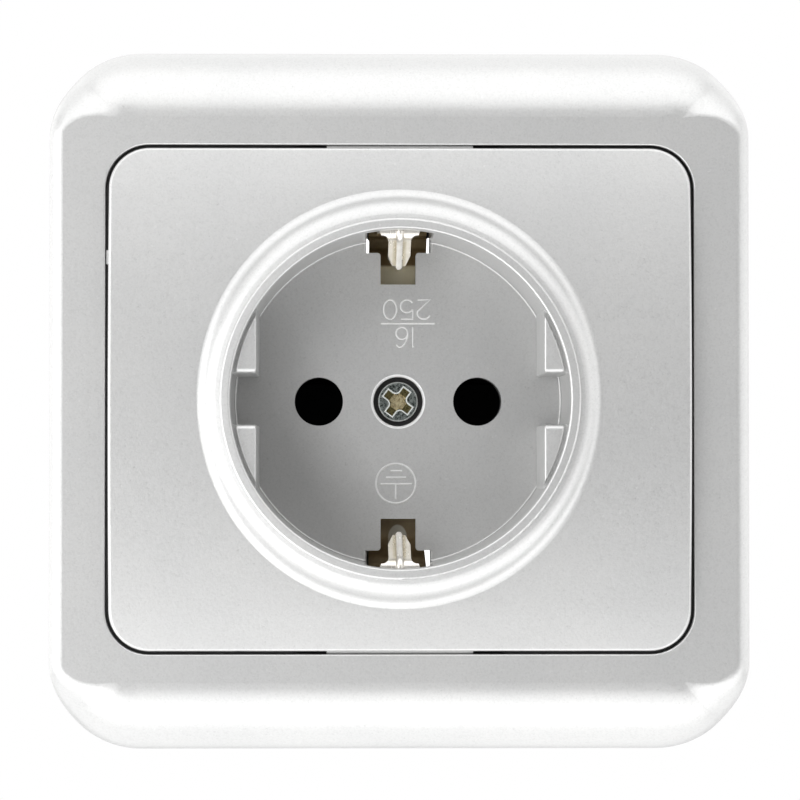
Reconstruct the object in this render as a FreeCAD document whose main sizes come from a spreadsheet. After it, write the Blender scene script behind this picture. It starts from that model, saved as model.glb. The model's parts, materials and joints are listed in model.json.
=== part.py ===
import FreeCAD, Part
import math
import os
from types import SimpleNamespace

import Sketcher
from FreeCAD import Placement, Rotation, Vector

# A flush-mounted earthed wall socket with side earth contacts.
# The wall's surface is the plane y = 0. The room is towards -y, the wall box towards +y,
# +x is right and +z is up. The origin is on the axis of the plug well.

DIMENSIONS = [
    # name, millimetres, what it measures
    ("side_border", 6.575, "frame's border, left and right"),
    ("end_border", 11.49, "frame's border, top and bottom"),
    ("frame_depth", 10.0, "cover frame's face in front of the wall"),
    ("frame_corner", 10.4, "radius of the frame's outline"),
    ("frame_shoulder", 8.2, "rounding along the frame's top and bottom"),
    ("frame_side_round", 1.65, "rounding along the frame's two sides"),
    ("frame_middle_round", 7.1, "rounding midway round a corner"),
    ("frame_middle_flat", 0.1, "short straight that parts the corner's two arcs"),
    ("frame_wall", 2.0, "thickness of the frame's moulding"),
    ("frame_opening_round", 0.2, "rounding round the frame's opening"),
    ("opening_corner", 5.1, "corner radius of the frame's opening"),
    ("side_gap", 0.45, "gap between plate and frame, left and right"),
    ("end_gap", 0.36, "gap between plate and frame, top and bottom"),
    ("plate_width", 67.45, "centre plate, left to right"),
    ("plate_height", 58.4, "centre plate, bottom to top"),
    ("plate_crown", 2.3, "fall of the plate's face from its middle to its ends"),
    ("plate_skin", 1.9, "thickness of the plate's face"),
    ("plate_rim_round", 0.35, "rounding round the plate's face"),
    ("plate_skirt", 4.4, "depth of the wall round the plate, at its ends"),
    ("plate_skirt_wall", 1.8, "thickness of that wall"),
    ("flange_reach", 1.2, "plate's flange, how far it passes behind the frame"),
    ("flange_thickness", 1.4, "plate's flange, front to back"),
    ("flange_play", 0.1, "gap between the flange and the frame"),
    ("centring_length", 17.0, "centring rib on the plate's top and bottom edges"),
    ("centring_step", 3.5, "lower step at each end of a centring rib"),
    ("centring_play", 0.06, "gap between a centring rib and the frame"),
    ("nib_length", 1.6, "centring nib on the plate's left edge"),
    ("nib_level", 16.4, "height of that nib above the well's axis"),
    ("well_margin", 0.6, "plug well's radius beyond the pins' pitch"),
    ("well_depth", 17.5, "plug well, from its rim to its floor"),
    ("well_wall", 1.6, "wall of the plug well"),
    ("floor_thickness", 2.0, "floor of the plug well"),
    ("floor_corner", 0.25, "rounding where the well's wall meets its floor"),
    ("rim_rise", 1.45, "well's rim in front of the plate's middle"),
    ("rim_width", 1.25, "ring round the well's mouth"),
    ("rim_round", 0.28, "rounding of that ring's two edges"),
    ("rim_fall", 0.08, "fall of that ring towards its outer edge"),
    ("rim_step", 0.4, "step from the ring down to the bead"),
    ("collar_width", 3.65, "collar round the well, from the well's wall to the bead's foot"),
    ("bead_fall", 0.4, "fall of the bead towards its outside, before its rounding"),
    ("bead_round", 2.3, "rounding of the bead"),
    ("bead_foot", 1.4, "hollow rounding where the bead meets the plate"),
    ("guide_width", 3.0, "guide ribs' flat faces, in from the well's wall"),
    ("guide_notch", 5.9, "notch between the two guide ribs of one side"),
    ("guide_drop", 1.9, "guide ribs' ends behind the well's rim"),
    ("guide_step", 0.7, "raised middle of a guide rib's end"),
    ("guide_inset", 0.3, "raised middle, in from the well's wall"),
    ("guide_round", 0.25, "rounding of a guide rib's edges"),
    ("guide_end_round", 0.6, "rounding at the notch end of a guide rib"),
    ("pin_pitch", 19.0, "distance between the two pin holes"),
    ("pin_hole_radius", 2.9, "pin holes"),
    ("pin_radius", 2.4, "a plug's pins"),
    ("head_hole_radius", 2.95, "hole for the centre screw's head"),
    ("head_hole_depth", 3.2, "depth of that hole behind the floor's face"),
    ("head_hole_round", 0.3, "rounding round the mouth of that hole"),
    ("shank_hole_radius", 1.75, "hole for the centre screw's shank"),
    ("boss_radius", 4.4, "boss behind the floor, round the centre screw"),
    ("boss_height", 2.4, "that boss, behind the floor"),
    ("clip_stem_width", 4.2, "opening for an earth clip, its narrow part"),
    ("clip_stem_reach", 5.55, "that narrow part's inner end, in from the well's wall"),
    ("clip_arm_width", 7.5, "opening for an earth clip, its wide part"),
    ("clip_arm_reach", 1.75, "that wide part's inner end, in from the well's wall"),
    ("clip_corner", 0.4, "rounded corners of that opening"),
    ("clip_round", 0.45, "rounding of the sides of its wide part"),
    ("window_top", 2.9, "clip opening's end behind the well's rim"),
    ("cover_gap", 0.3, "gap between the well's floor and the contact cover"),
    ("cover_thickness", 2.0, "contact cover"),
    ("cup_wall", 2.5, "wall of the insert base's cup"),
    ("cup_play", 0.4, "gap between the contact cover and the cup"),
    ("base_depth", 27.0, "back of the insert base behind the wall's surface"),
    ("base_back_wall", 2.2, "back wall of the contact chambers"),
    ("side_flat_cut", 1.3, "flats on the base's sides, depth"),
    ("end_flat_cut", 1.9, "flats on the base's top and bottom, depth"),
    ("base_flat_start", 11.0, "front end of those flats, behind the wall's surface"),
    ("ear_offset", 0.5, "ears that carry the support ring, beyond the cup's outside"),
    ("ear_radius", 3.2, "those ears"),
    ("ear_height", 6.0, "those ears, front to back"),
    ("ring_thickness", 1.0, "support ring's sheet"),
    ("ring_side_inset", 5.25, "support ring, in from the frame's two sides"),
    ("ring_end_inset", 5.55, "support ring, in from the frame's top and bottom"),
    ("ring_corner", 12.0, "support ring's cut corners"),
    ("ring_play", 0.8, "gap between the support ring and the well"),
    ("ring_rim", 2.0, "folded edge of the support ring"),
    ("box_screw_pitch", 60.0, "distance between opposite box screws"),
    ("box_slot_length", 7.0, "slots for the box screws, end to end"),
    ("box_slot_width", 4.2, "those slots, side to side"),
    ("rivet_radius", 1.25, "ring rivets' shanks"),
    ("rivet_head_radius", 2.2, "ring rivets' heads"),
    ("rivet_head_height", 0.8, "ring rivets' heads, front to back"),
    ("rivet_length", 4.5, "ring rivets in the base's ears"),
    ("strap_thickness", 0.8, "earth strap's sheet"),
    ("strap_width", 7.0, "earth strap"),
    ("strap_play", 0.1, "gaps round the earth strap in its channel"),
    ("strap_drop", 2.4, "earth strap's step back at its ends"),
    ("strap_drop_run", 4.35, "that step's inner end, in from the legs"),
    ("strap_bend", 1.0, "earth strap's bends, at the middle of the sheet"),
    ("leg_offset", 0.95, "earth strap's legs, beyond the well's wall"),
    ("leg_width", 5.0, "earth strap's legs"),
    ("leg_tip", 3.6, "front of the legs' upper bends behind the well's rim"),
    ("hairpin", 1.5, "distance from a leg to its finger at the upper bend"),
    ("hairpin_bend", 0.7, "radius of that bend, at the middle of the sheet"),
    ("finger_width", 2.6, "earth fingers"),
    ("finger_tip_width", 1.35, "earth fingers, at the innermost point"),
    ("finger_taper", 1.2, "length over which a finger narrows to that point"),
    ("wing_width", 4.3, "earth strip at the finger's upper bend"),
    ("finger_reach", 3.85, "innermost point of an earth finger, in from the well's wall"),
    ("finger_contact_depth", 11.5, "that point behind the well's rim"),
    ("finger_bow", 2.0, "finger's bend at that point"),
    ("finger_end", 1.6, "finger's length behind that point"),
    ("finger_spread", 0.5, "how far the finger's end springs back outwards"),
    ("finger_bead", 0.5, "raised bead along a finger, radius"),
    ("strap_hole", 1.8, "holes through the strap, radius"),
    ("strap_rivet_place", 7.0, "strap rivets, from the axis"),
    ("strap_rivet_radius", 1.0, "strap rivets' shanks"),
    ("strap_rivet_head", 1.7, "strap rivets' heads"),
    ("strap_rivet_rise", 0.6, "strap rivets' heads, front to back"),
    ("strap_rivet_length", 4.5, "strap rivets behind the strap's face"),
    ("bracket_width", 5.6, "earth terminal bracket"),
    ("earth_setback", 0.8, "earth terminal, nearer to the axis than the others"),
    ("bracket_start", 4.4, "earth bracket's inner end, from the axis"),
    ("bracket_tip_gap", 1.2, "from the bracket's tip to the back of its chamber"),
    ("bush_radius", 3.0, "threaded bush for the centre screw"),
    ("bush_length", 6.5, "that bush, front to back"),
    ("screw_radius", 1.5, "centre screw's shank"),
    ("screw_length", 12.0, "centre screw's shank, front to back"),
    ("screw_head_radius", 2.4, "centre screw's head"),
    ("screw_head_height", 1.9, "centre screw's head, front to back"),
    ("screw_head_round", 0.2, "rounding round the head's face"),
    ("screw_recess_reach", 1.8, "cross recess, centre to tip"),
    ("screw_recess_width", 1.0, "cross recess, width of an arm"),
    ("screw_recess_depth", 0.7, "cross recess, depth of its arms"),
    ("screw_core_reach", 0.95, "deeper core of the recess, centre to tip"),
    ("screw_core_depth", 1.3, "deeper core of the recess, depth"),
    ("contact_thickness", 0.8, "sheet of the line and neutral contacts"),
    ("fork_gap", 0.7, "gap between a contact fork and its clamp"),
    ("contact_inset", 2.65, "contact fork's mouth behind the contact cover"),
    ("contact_grip", 0.05, "play of a pin between the fork's leaves"),
    ("contact_flare", 1.1, "how far the fork's mouth opens outwards"),
    ("contact_mouth", 2.4, "depth of the fork's mouth"),
    ("contact_bend", 1.0, "bends of the contacts, at the middle of the sheet"),
    ("contact_waist", 0.5, "how far the fork widens behind its grip"),
    ("clamp_play", 0.2, "gap between a clamp and the end of its chamber"),
    ("tail_width", 5.6, "terminal tail, bottom to top"),
    ("spring_thickness", 0.5, "steel springs round the contact forks"),
    ("spring_inset", 1.2, "springs, in from the fork's sides"),
    ("spring_play", 0.15, "gap between a spring's arms and the fork"),
    ("clamp_wall", 1.0, "terminal clamps' sheet"),
    ("clamp_inner", 6.0, "terminal clamps' opening, along the screw"),
    ("clamp_width", 6.6, "terminal clamps' opening, across the screw"),
    ("clamp_wire_room", 2.5, "room for wires between tail and clamp"),
    ("clamp_clearance", 4.05, "clamps' share of free room before them"),
    ("clamp_back", 2.1, "clamps' share of free room behind them"),
    ("clamp_brim", 0.2, "clamps' edges beyond their screws' heads"),
    ("clamp_screw_radius", 1.7, "clamp screws' shanks"),
    ("clamp_head_radius", 2.8, "clamp screws' heads"),
    ("clamp_head_height", 1.5, "clamp screws' heads"),
    ("clamp_slot_width", 0.9, "clamp screws' slots"),
    ("clamp_slot_depth", 0.7, "clamp screws' slots, depth"),
    ("chamber_play", 0.4, "room round the metal pieces in their chambers"),
    ("wire_hole_radius", 1.6, "wire entries in the base's back"),
    ("chamber_wall", 2.9, "from the outer end of a chamber to the cup's outside"),
    ("wire_hole_pitch", 3.3, "distance between the two wire entries of a terminal"),
    ("driver_hole_radius", 3.2, "openings for the clamp screws' driver"),
    ("recess_size", 7.0, "hollows in the base's back, square"),
    ("recess_place", 8.0, "those hollows' inner corners, from the axis"),
    ("recess_depth", 10.0, "those hollows, front to back"),
    ("recess_round", 1.5, "those hollows' corners"),
    ("foot_size", 3.0, "plate's feet on the support ring, square"),
    ("foot_gap", 0.2, "gap between a foot and the support ring"),
    ("cover_screw_inset", 7.5, "contact cover's screws, in from the cup's outside"),
    ("cover_screw_radius", 0.9, "contact cover's screws, shanks"),
    ("cover_screw_head", 1.6, "contact cover's screws, heads"),
    ("cover_screw_head_height", 1.0, "cover screws' heads, front to back"),
    ("cover_screw_length", 6.0, "contact cover's screws in the base"),
]
SHEET = "Sizes"
OVERRUN = 1.0
SCREW_TURN = 53.4

doc = FreeCAD.newDocument("wall_socket")


class Size:
    """A length that knows its value and the sheet formula that gives it."""

    def __init__(self, value, formula):
        self.value = float(value)
        self.formula = formula

    def __add__(self, other):
        other = as_size(other)
        return Size(self.value + other.value, "(%s + %s)" % (self.formula, other.formula))

    def __sub__(self, other):
        other = as_size(other)
        return Size(self.value - other.value, "(%s - %s)" % (self.formula, other.formula))

    def __mul__(self, other):
        other = as_size(other)
        return Size(self.value * other.value, "(%s * %s)" % (self.formula, other.formula))

    def __truediv__(self, other):
        other = as_size(other)
        return Size(self.value / other.value, "(%s / %s)" % (self.formula, other.formula))

    def __radd__(self, other):
        return as_size(other) + self

    def __rsub__(self, other):
        return as_size(other) - self

    def __rmul__(self, other):
        return as_size(other) * self

    def __neg__(self):
        return 0 - self


def as_size(number):
    """Take a plain number as a size without a name."""
    return number if isinstance(number, Size) else Size(number, "(%s)" % number)


def root(size):
    """Square root of a size."""
    return Size(math.sqrt(size.value), "sqrt(%s)" % size.formula)


def make_sheet():
    """Write the driving dimensions into the sheet and return them by name."""
    sheet = doc.addObject("Spreadsheet::Sheet", SHEET)
    for row, (name, value, meaning) in enumerate(DIMENSIONS, start=1):
        sheet.set("A%d" % row, meaning)
        sheet.set("B%d" % row, str(value))
        sheet.setAlias("B%d" % row, name)
    doc.recompute()
    return SimpleNamespace(**{
        name: Size(value, "%s.%s" % (SHEET, name)) for name, value, meaning in DIMENSIONS})


def bind(thing, name, size):
    """Tie one property of a document object to the sheet."""
    thing.setExpression(name, as_size(size).formula)


def new_body(label):
    """Start one piece, or one step towards it, as a body."""
    body = doc.addObject("PartDesign::Body", label)
    body.Label = label
    return body


def origin_plane(body, role):
    return next(item for item in body.Origin.OriginFeatures if item.Role == role)


class Drawing:
    """A sketch on one of a body's own planes, with its sizes bound to the sheet."""

    def __init__(self, body, name, plane, lift=0):
        self.body = body
        self.sketch = body.newObject("Sketcher::SketchObject", name)
        self.sketch.AttachmentSupport = [(origin_plane(body, plane), "")]
        self.sketch.MapMode = "FlatFace"
        bind(self.sketch, "AttachmentOffset.Base.z", lift)

    def rule(self, *parts):
        """Add one geometric rule, such as Horizontal or Coincident."""
        return self.sketch.addConstraint(Sketcher.Constraint(*parts))

    def measure(self, kind, parts, size):
        """Add one dimension and bind it."""
        size = as_size(size)
        index = self.rule(kind, *parts, size.value)
        self.sketch.setExpression("Constraints[%d]" % index, size.formula)

    def place(self, piece, end, across, up):
        """Fix a point by its distances from the origin."""
        self.measure("DistanceX", (piece, end), across)
        self.measure("DistanceY", (piece, end), up)

    def circle(self, across, up, radius):
        across, up, radius = as_size(across), as_size(up), as_size(radius)
        centre = Vector(across.value, up.value, 0)
        index = self.sketch.addGeometry(Part.Circle(centre, Vector(0, 0, 1), radius.value), False)
        self.place(index, 3, across, up)
        self.measure("Radius", (index,), radius)

    def path(self, corners, closed=True):
        """Draw straight runs through corners given as (across, up) or (across, up, rounding)."""
        points = [Vector(as_size(c[0]).value, as_size(c[1]).value, 0) for c in corners]
        count = len(points)
        rounded = [len(c) == 3 for c in corners]
        starts, ends = list(points), list(points)
        bends = {}
        for i in range(count):
            if rounded[i]:
                bend = corner_arc(points[i - 1], points[i], points[(i + 1) % count],
                                  as_size(corners[i][2]).value)
                ends[i], starts[i], bends[i] = bend.before, bend.after, bend
        runs = count if closed else count - 1
        lines = [self.sketch.addGeometry(Part.LineSegment(starts[i], ends[(i + 1) % count]), False)
                 for i in range(runs)]
        for i in range(count):
            before, after = lines[i - 1], lines[i % runs]
            if not closed and i in (0, count - 1):
                line, end = (after, 1) if i == 0 else (lines[-1], 2)
                self.place(line, end, corners[i][0], corners[i][1])
            elif rounded[i]:
                self.round_corner(before, after, bends[i], points[i], corners[i])
            else:
                self.rule("Coincident", before, 2, after, 1)
                self.place(after, 1, corners[i][0], corners[i][1])

    def round_corner(self, before, after, bend, point, corner):
        """Join two runs by an arc that touches both, with the corner itself kept as a guide."""
        arc = self.sketch.addGeometry(bend.arc, False)
        first, last = (1, 2) if bend.left else (2, 1)
        self.rule("Tangent", before, 2, arc, first)
        self.rule("Tangent", after, 1, arc, last)
        guide = self.sketch.addGeometry(Part.Point(point), True)
        self.rule("PointOnObject", guide, 1, before)
        self.rule("PointOnObject", guide, 1, after)
        self.place(guide, 1, corner[0], corner[1])
        self.measure("Radius", (arc,), corner[2])

    def rectangle(self, left, right, low, high, rounding=None):
        extra = () if rounding is None else (rounding,)
        self.path([(left, low) + extra, (right, low) + extra,
                   (right, high) + extra, (left, high) + extra])

    def centred(self, width, height, rounding=None):
        """A rectangle about the origin."""
        self.rectangle(-width / 2, width / 2, -height / 2, height / 2, rounding)

    def crowned(self, crest, radius, reach, far):
        """An area between an arc, crest first, and a straight line across at far.

        The arc's centre is on the horizontal axis, behind the crest by the radius."""
        centre = crest + radius
        edge = centre - root(radius * radius - reach * reach)
        tilt = math.asin(reach.value / radius.value)
        arc = self.sketch.addGeometry(Part.ArcOfCircle(
            Part.Circle(Vector(centre.value, 0, 0), Vector(0, 0, 1), radius.value),
            math.pi - tilt, math.pi + tilt), False)
        corners = [Vector(edge.value, -reach.value, 0), Vector(far.value, -reach.value, 0),
                   Vector(far.value, reach.value, 0), Vector(edge.value, reach.value, 0)]
        low, across, high = [self.sketch.addGeometry(Part.LineSegment(a, b), False)
                             for a, b in zip(corners, corners[1:])]
        self.place(arc, 3, centre, 0)
        self.measure("Radius", (arc,), radius)
        self.rule("Coincident", arc, 2, low, 1)
        self.rule("Coincident", low, 2, across, 1)
        self.rule("Coincident", across, 2, high, 1)
        self.rule("Coincident", high, 2, arc, 1)
        self.rule("Horizontal", low)
        self.rule("Horizontal", high)
        self.rule("Vertical", across)
        self.place(across, 1, far, -reach)
        self.measure("DistanceY", (high, 1), reach)

    def segment(self, side, end, chord, notch, radius):
        """The part of a disc about the origin that lies beyond a chord and a notch."""
        near = root(radius * radius - notch * notch)
        far = root(radius * radius - chord * chord)
        corner = Vector(side * chord.value, end * notch.value, 0)
        low = Vector(side * near.value, end * notch.value, 0)
        high = Vector(side * chord.value, end * far.value, 0)
        angles = sorted([math.atan2(low.y, low.x) % (2 * math.pi),
                         math.atan2(high.y, high.x) % (2 * math.pi)])
        circle = Part.Circle(Vector(), Vector(0, 0, 1), radius.value)
        arc = self.sketch.addGeometry(Part.ArcOfCircle(circle, *angles), False)
        flat = self.sketch.addGeometry(Part.LineSegment(corner, low), False)
        face = self.sketch.addGeometry(Part.LineSegment(high, corner), False)
        first = 1 if math.isclose(angles[0], math.atan2(low.y, low.x) % (2 * math.pi)) else 2
        self.rule("Coincident", arc, 3, -1, 1)
        self.measure("Radius", (arc,), radius)
        self.rule("Coincident", flat, 2, arc, first)
        self.rule("Coincident", face, 1, arc, 3 - first)
        self.rule("Coincident", face, 2, flat, 1)
        self.rule("Horizontal", flat)
        self.rule("Vertical", face)
        self.place(flat, 1, side * chord, end * notch)

    def slot(self, across, up, length, width, upright=False):
        """A slot with round ends, centred on a point."""
        radius = as_size(width) / 2
        half = as_size(length) / 2 - radius
        across, up = as_size(across), as_size(up)
        ends = [(across, up - half), (across, up + half)] if upright else \
               [(across - half, up), (across + half, up)]
        turn = math.pi / 2 if upright else 0
        arcs = []
        for number, (x, y) in enumerate(ends):
            start = turn + math.pi / 2 + number * math.pi
            circle = Part.Circle(Vector(x.value, y.value, 0), Vector(0, 0, 1), radius.value)
            arcs.append(self.sketch.addGeometry(
                Part.ArcOfCircle(circle, start, start + math.pi), False))
        for first, second in ((0, 1), (1, 0)):
            start = self.sketch.getPoint(arcs[first], 2)
            end = self.sketch.getPoint(arcs[second], 1)
            line = self.sketch.addGeometry(Part.LineSegment(start, end), False)
            self.rule("Tangent", arcs[first], 2, line, 1)
            self.rule("Tangent", arcs[second], 1, line, 2)
        for arc, (x, y) in zip(arcs, ends):
            self.place(arc, 3, x, y)
        self.measure("Radius", (arcs[0],), radius)


def corner_arc(before, corner, after, radius):
    """Work out the arc that rounds one corner, and where it touches the two runs."""
    towards = (before - corner).normalize()
    away = (after - corner).normalize()
    half_angle = towards.getAngle(away) / 2
    reach = radius / math.tan(half_angle)
    first, last = corner + towards * reach, corner + away * reach
    centre = corner + (towards + away).normalize() * (radius / math.sin(half_angle))
    left = (corner - before).cross(after - corner).z > 0
    low, high = (first, last) if left else (last, first)
    start = math.atan2(low.y - centre.y, low.x - centre.x)
    sweep = (math.atan2(high.y - centre.y, high.x - centre.x) - start) % (2 * math.pi)
    arc = Part.ArcOfCircle(Part.Circle(centre, Vector(0, 0, 1), radius), start, start + sweep)
    return SimpleNamespace(before=first, after=last, arc=arc, left=left)


def finish_step(body, feature, grows):
    """Recompute one feature and make sure that it added or removed material."""
    before = body.Tip.Shape.Volume if body.Tip and not body.Tip.Shape.isNull() else 0
    body.Tip = feature
    doc.recompute()
    change = feature.Shape.Volume - before
    if (change > 0) != grows:
        raise RuntimeError("%s changes the volume by %.3f" % (feature.Name, change))
    return feature


def pad(body, drawing, length, symmetric=False):
    """Extrude a drawing along its plane's normal."""
    previous = body.Tip
    feature = body.newObject("PartDesign::Pad", drawing.sketch.Name + "_pad")
    feature.Profile = drawing.sketch
    feature.SideType = "Symmetric" if symmetric else "One side"
    bind(feature, "Length", length)
    body.Tip = previous
    return finish_step(body, feature, grows=True)


def pocket(body, drawing, depth, symmetric=False):
    """Cut a drawing into the body, against its plane's normal."""
    previous = body.Tip
    feature = body.newObject("PartDesign::Pocket", drawing.sketch.Name + "_pocket")
    feature.Profile = drawing.sketch
    feature.SideType = "Symmetric" if symmetric else "One side"
    feature.Type = "Length"
    bind(feature, "Length", depth)
    body.Tip = previous
    return finish_step(body, feature, grows=False)


def add_between(body, name, front, back, draw):
    """Add what the draw function draws in the front view, from the back level to the front."""
    drawing = Drawing(body, name, "XZ_Plane", -as_size(back))
    draw(drawing)
    return pad(body, drawing, back - front)


def cut_between(body, name, front, back, draw):
    """Remove what the draw function draws in the front view, from the front level to the back."""
    drawing = Drawing(body, name, "XZ_Plane", -as_size(front))
    draw(drawing)
    return pocket(body, drawing, back - front)


def add_along(body, name, plane, start, end, draw):
    """Add what is drawn on a plane, between two distances along that plane's normal."""
    drawing = Drawing(body, name, plane, start)
    draw(drawing)
    return pad(body, drawing, end - start)


def cut_along(body, name, plane, start, end, draw):
    """Remove what is drawn on a plane, between two distances along that plane's normal."""
    drawing = Drawing(body, name, plane, end)
    draw(drawing)
    return pocket(body, drawing, end - start)


def sweep(body, name, section_plane, section_lift, draw_section, path_plane, path_lift, corners):
    """Carry a section along a path of straight runs and bends."""
    section = Drawing(body, name + "_section", section_plane, section_lift)
    draw_section(section)
    spine = Drawing(body, name + "_path", path_plane, path_lift)
    spine.path(corners, closed=False)
    doc.recompute()
    previous = body.Tip
    feature = body.newObject("PartDesign::AdditivePipe", name)
    feature.Profile = section.sketch
    feature.Spine = (spine.sketch, [])
    body.Tip = previous
    return finish_step(body, feature, grows=True)


def mirror_step(body, name, original, role):
    """Repeat a step of the body on the other side of one of its planes."""
    previous = body.Tip
    feature = body.newObject("PartDesign::Mirrored", name)
    feature.Originals = [original]
    feature.MirrorPlane = (origin_plane(body, role), [""])
    body.Tip = previous
    return finish_step(body, feature, grows=True)


def revolve(body, name, draw):
    """Turn a half section, drawn in the top view, about the y axis."""
    drawing = Drawing(body, name, "XY_Plane")
    draw(drawing)
    previous = body.Tip
    feature = body.newObject("PartDesign::Revolution", name + "_turned")
    feature.Profile = drawing.sketch
    feature.ReferenceAxis = (drawing.sketch, ["V_Axis"])
    feature.Angle = 360
    body.Tip = previous
    return finish_step(body, feature, grows=True)


def soften(body, kind, name, size, wanted):
    """Round or bevel the edges of the body's last step that the test picks."""
    base = body.Tip
    names = ["Edge%d" % (i + 1) for i, edge in enumerate(base.Shape.Edges) if wanted(edge)]
    if not names:
        raise RuntimeError("%s finds no edge" % name)
    feature = body.newObject("PartDesign::" + kind, name)
    feature.Base = (base, names)
    bind(feature, "Radius" if kind == "Fillet" else "Size", size)
    body.Tip = feature
    doc.recompute()
    return feature


def near(a, b, slack=1e-4):
    return abs(a - as_size(b).value) < slack


def lies_in_front(level):
    """Test for an edge that lies wholly in one plane across the y axis."""
    def test(edge):
        box = edge.BoundBox
        return near(box.YMin, level) and near(box.YMax, level)
    return test


def combine(kind, name, pieces):
    """Fuse, or cut the later pieces from the first."""
    thing = doc.addObject("Part::" + kind, name)
    if kind == "Cut":
        thing.Base, thing.Tool = pieces
    else:
        thing.Shapes = pieces
    doc.recompute()
    return thing


d = make_sheet()

# Levels along y, from the room to the back of the wall box.
wall_level = as_size(0)
face_level = -d.frame_depth
plate_edge = face_level - d.flange_play
plate_middle = plate_edge - d.plate_crown
rim_level = plate_middle - d.rim_rise
floor_level = rim_level + d.well_depth
floor_back = floor_level + d.floor_thickness
boss_back = floor_back + d.boss_height
cover_front = floor_back + d.cover_gap
base_front = cover_front + d.cover_thickness
strap_front = boss_back
strap_back = strap_front + d.strap_thickness
strap_middle = strap_front + d.strap_thickness / 2
deep_middle = strap_middle + d.strap_drop
channel_floor = strap_back + d.strap_play
chamber_floor = d.base_depth - d.base_back_wall
web_middle = chamber_floor - d.spring_thickness - d.contact_thickness / 2
contact_start = base_front + d.contact_inset
clamp_length = 2 * (d.clamp_head_radius + d.clamp_brim)
clamp_limit = channel_floor + d.strap_drop
clamp_room = web_middle - d.contact_thickness / 2 - clamp_limit - clamp_length
clamp_front = clamp_limit + clamp_room * d.clamp_clearance / (d.clamp_clearance + d.clamp_back)
clamp_axis = clamp_front + clamp_length / 2
bracket_tip = chamber_floor - d.bracket_tip_gap

# Sizes seen from the room.
opening_width = d.plate_width + 2 * d.side_gap
opening_height = d.plate_height + 2 * d.end_gap
frame_width = opening_width + 2 * d.side_border
frame_height = opening_height + 2 * d.end_border
crown_radius = (d.plate_height * d.plate_height / 4 + d.plate_crown * d.plate_crown) / (
    2 * d.plate_crown)

# Distances from the well's axis.
well_radius = d.pin_pitch + d.well_margin
well_outside = well_radius + d.well_wall
bead_radius = well_radius + d.collar_width
guide_chord = well_radius - d.guide_width
clip_stem_start = well_radius - d.clip_stem_reach
clip_arm_start = well_radius - d.clip_arm_reach
finger_contact = well_radius - d.finger_reach
leg_reach = well_radius + d.leg_offset
strap_drop_start = leg_reach - d.strap_drop_run
cup_inside = well_outside + d.ring_play
cup_radius = cup_inside + d.cup_wall
cover_radius = cup_inside - d.cup_play
ear_pitch = cup_radius + d.ear_offset
cover_screw_place = cup_radius - d.cover_screw_inset
chamber_end = cup_radius - d.chamber_wall
tail_place = (chamber_end - d.clamp_play - d.clamp_wall - d.clamp_inner
              + d.contact_thickness / 2)
bracket_place = tail_place - d.earth_setback
contact_width = 2 * (tail_place - d.contact_thickness / 2 - d.clamp_wall - d.fork_gap
                     - d.pin_pitch / 2)
spring_width = contact_width - 2 * d.spring_inset


def quarter_blank(name, inset, front, back):
    """A quarter of a shouldered block: rounded widely at its top and tightly at its side.

    The rounding grows all round the corner, and fastest in its first half.
    """
    width, height = frame_width / 2 - inset, frame_height / 2 - inset
    corner = d.frame_corner - inset
    slant = corner * (2 - math.sqrt(2)) + d.frame_middle_flat
    at_side, at_end = d.frame_side_round - inset / 2, d.frame_shoulder - inset
    at_middle = d.frame_middle_round - inset
    body = new_body(name + "_blank")
    add_between(body, name + "_outline", front, back, lambda s: s.path([
        (0, 0), (width, 0), (width, height - slant, corner),
        (width - slant, height, corner), (0, height)]))

    def rounding(edge):
        """The rounding at the lower and at the upper end of an edge of the block's face."""
        box = edge.BoundBox
        if not lies_in_front(front)(edge) or min(box.XMax, box.ZMax) < OVERRUN:
            return None
        if near(box.ZLength, 0):
            return (at_end, at_end) if box.ZMin > OVERRUN else None
        if near(box.XLength, 0):
            return (at_side, at_side)
        if near(box.XMax, width):
            return (at_side, at_middle)
        return (at_middle, at_end if near(box.ZMax, height) else at_middle)
    edges = []
    for number, edge in enumerate(body.Shape.Edges, start=1):
        pair = rounding(edge)
        if pair is None:
            continue
        first, last = edge.valueAt(edge.FirstParameter), edge.valueAt(edge.LastParameter)
        pair = pair if last.z > first.z else pair[::-1]
        edges.append((number, pair[0].value, pair[1].value))
    feature = doc.addObject("Part::Fillet", name + "_shoulder")
    feature.Base = body
    feature.Edges = edges
    doc.recompute()
    return feature


def mirrored(name, source, normal):
    """A piece together with its mirror image."""
    image = doc.addObject("Part::Mirroring", name + "_image")
    image.Source = source
    image.Normal = normal
    whole = combine("MultiFuse", name, [source, image])
    whole.Refine = True
    return whole


def make_cover_frame():
    """Moulded frame: a shouldered shell with an opening for the centre plate."""
    wall = d.frame_wall
    shell = quarter_blank("frame", as_size(0), face_level, wall_level)
    hollow = quarter_blank("frame_hollow", wall, face_level + wall, wall_level + OVERRUN)
    quarter = combine("Cut", "frame_quarter", [shell, hollow])
    half = mirrored("frame_half", quarter, Vector(1, 0, 0))
    whole = mirrored("frame_whole", half, Vector(0, 0, 1))
    opening = new_body("frame_opening")
    add_between(opening, "frame_opening_outline", face_level - OVERRUN, wall_level,
                lambda s: s.centred(opening_width, opening_height, d.opening_corner))
    cut = combine("Cut", "frame_cut", [whole, opening])
    lip = [number for number, edge in enumerate(cut.Shape.Edges, start=1)
           if lies_in_front(face_level)(edge) and inside_opening(edge)]
    frame = doc.addObject("Part::Fillet", "cover_frame")
    frame.Base = cut
    frame.Edges = [(number,) + (d.frame_opening_round.value,) * 2 for number in lip]
    frame.Label = "cover_frame"
    doc.recompute()
    return frame


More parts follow.
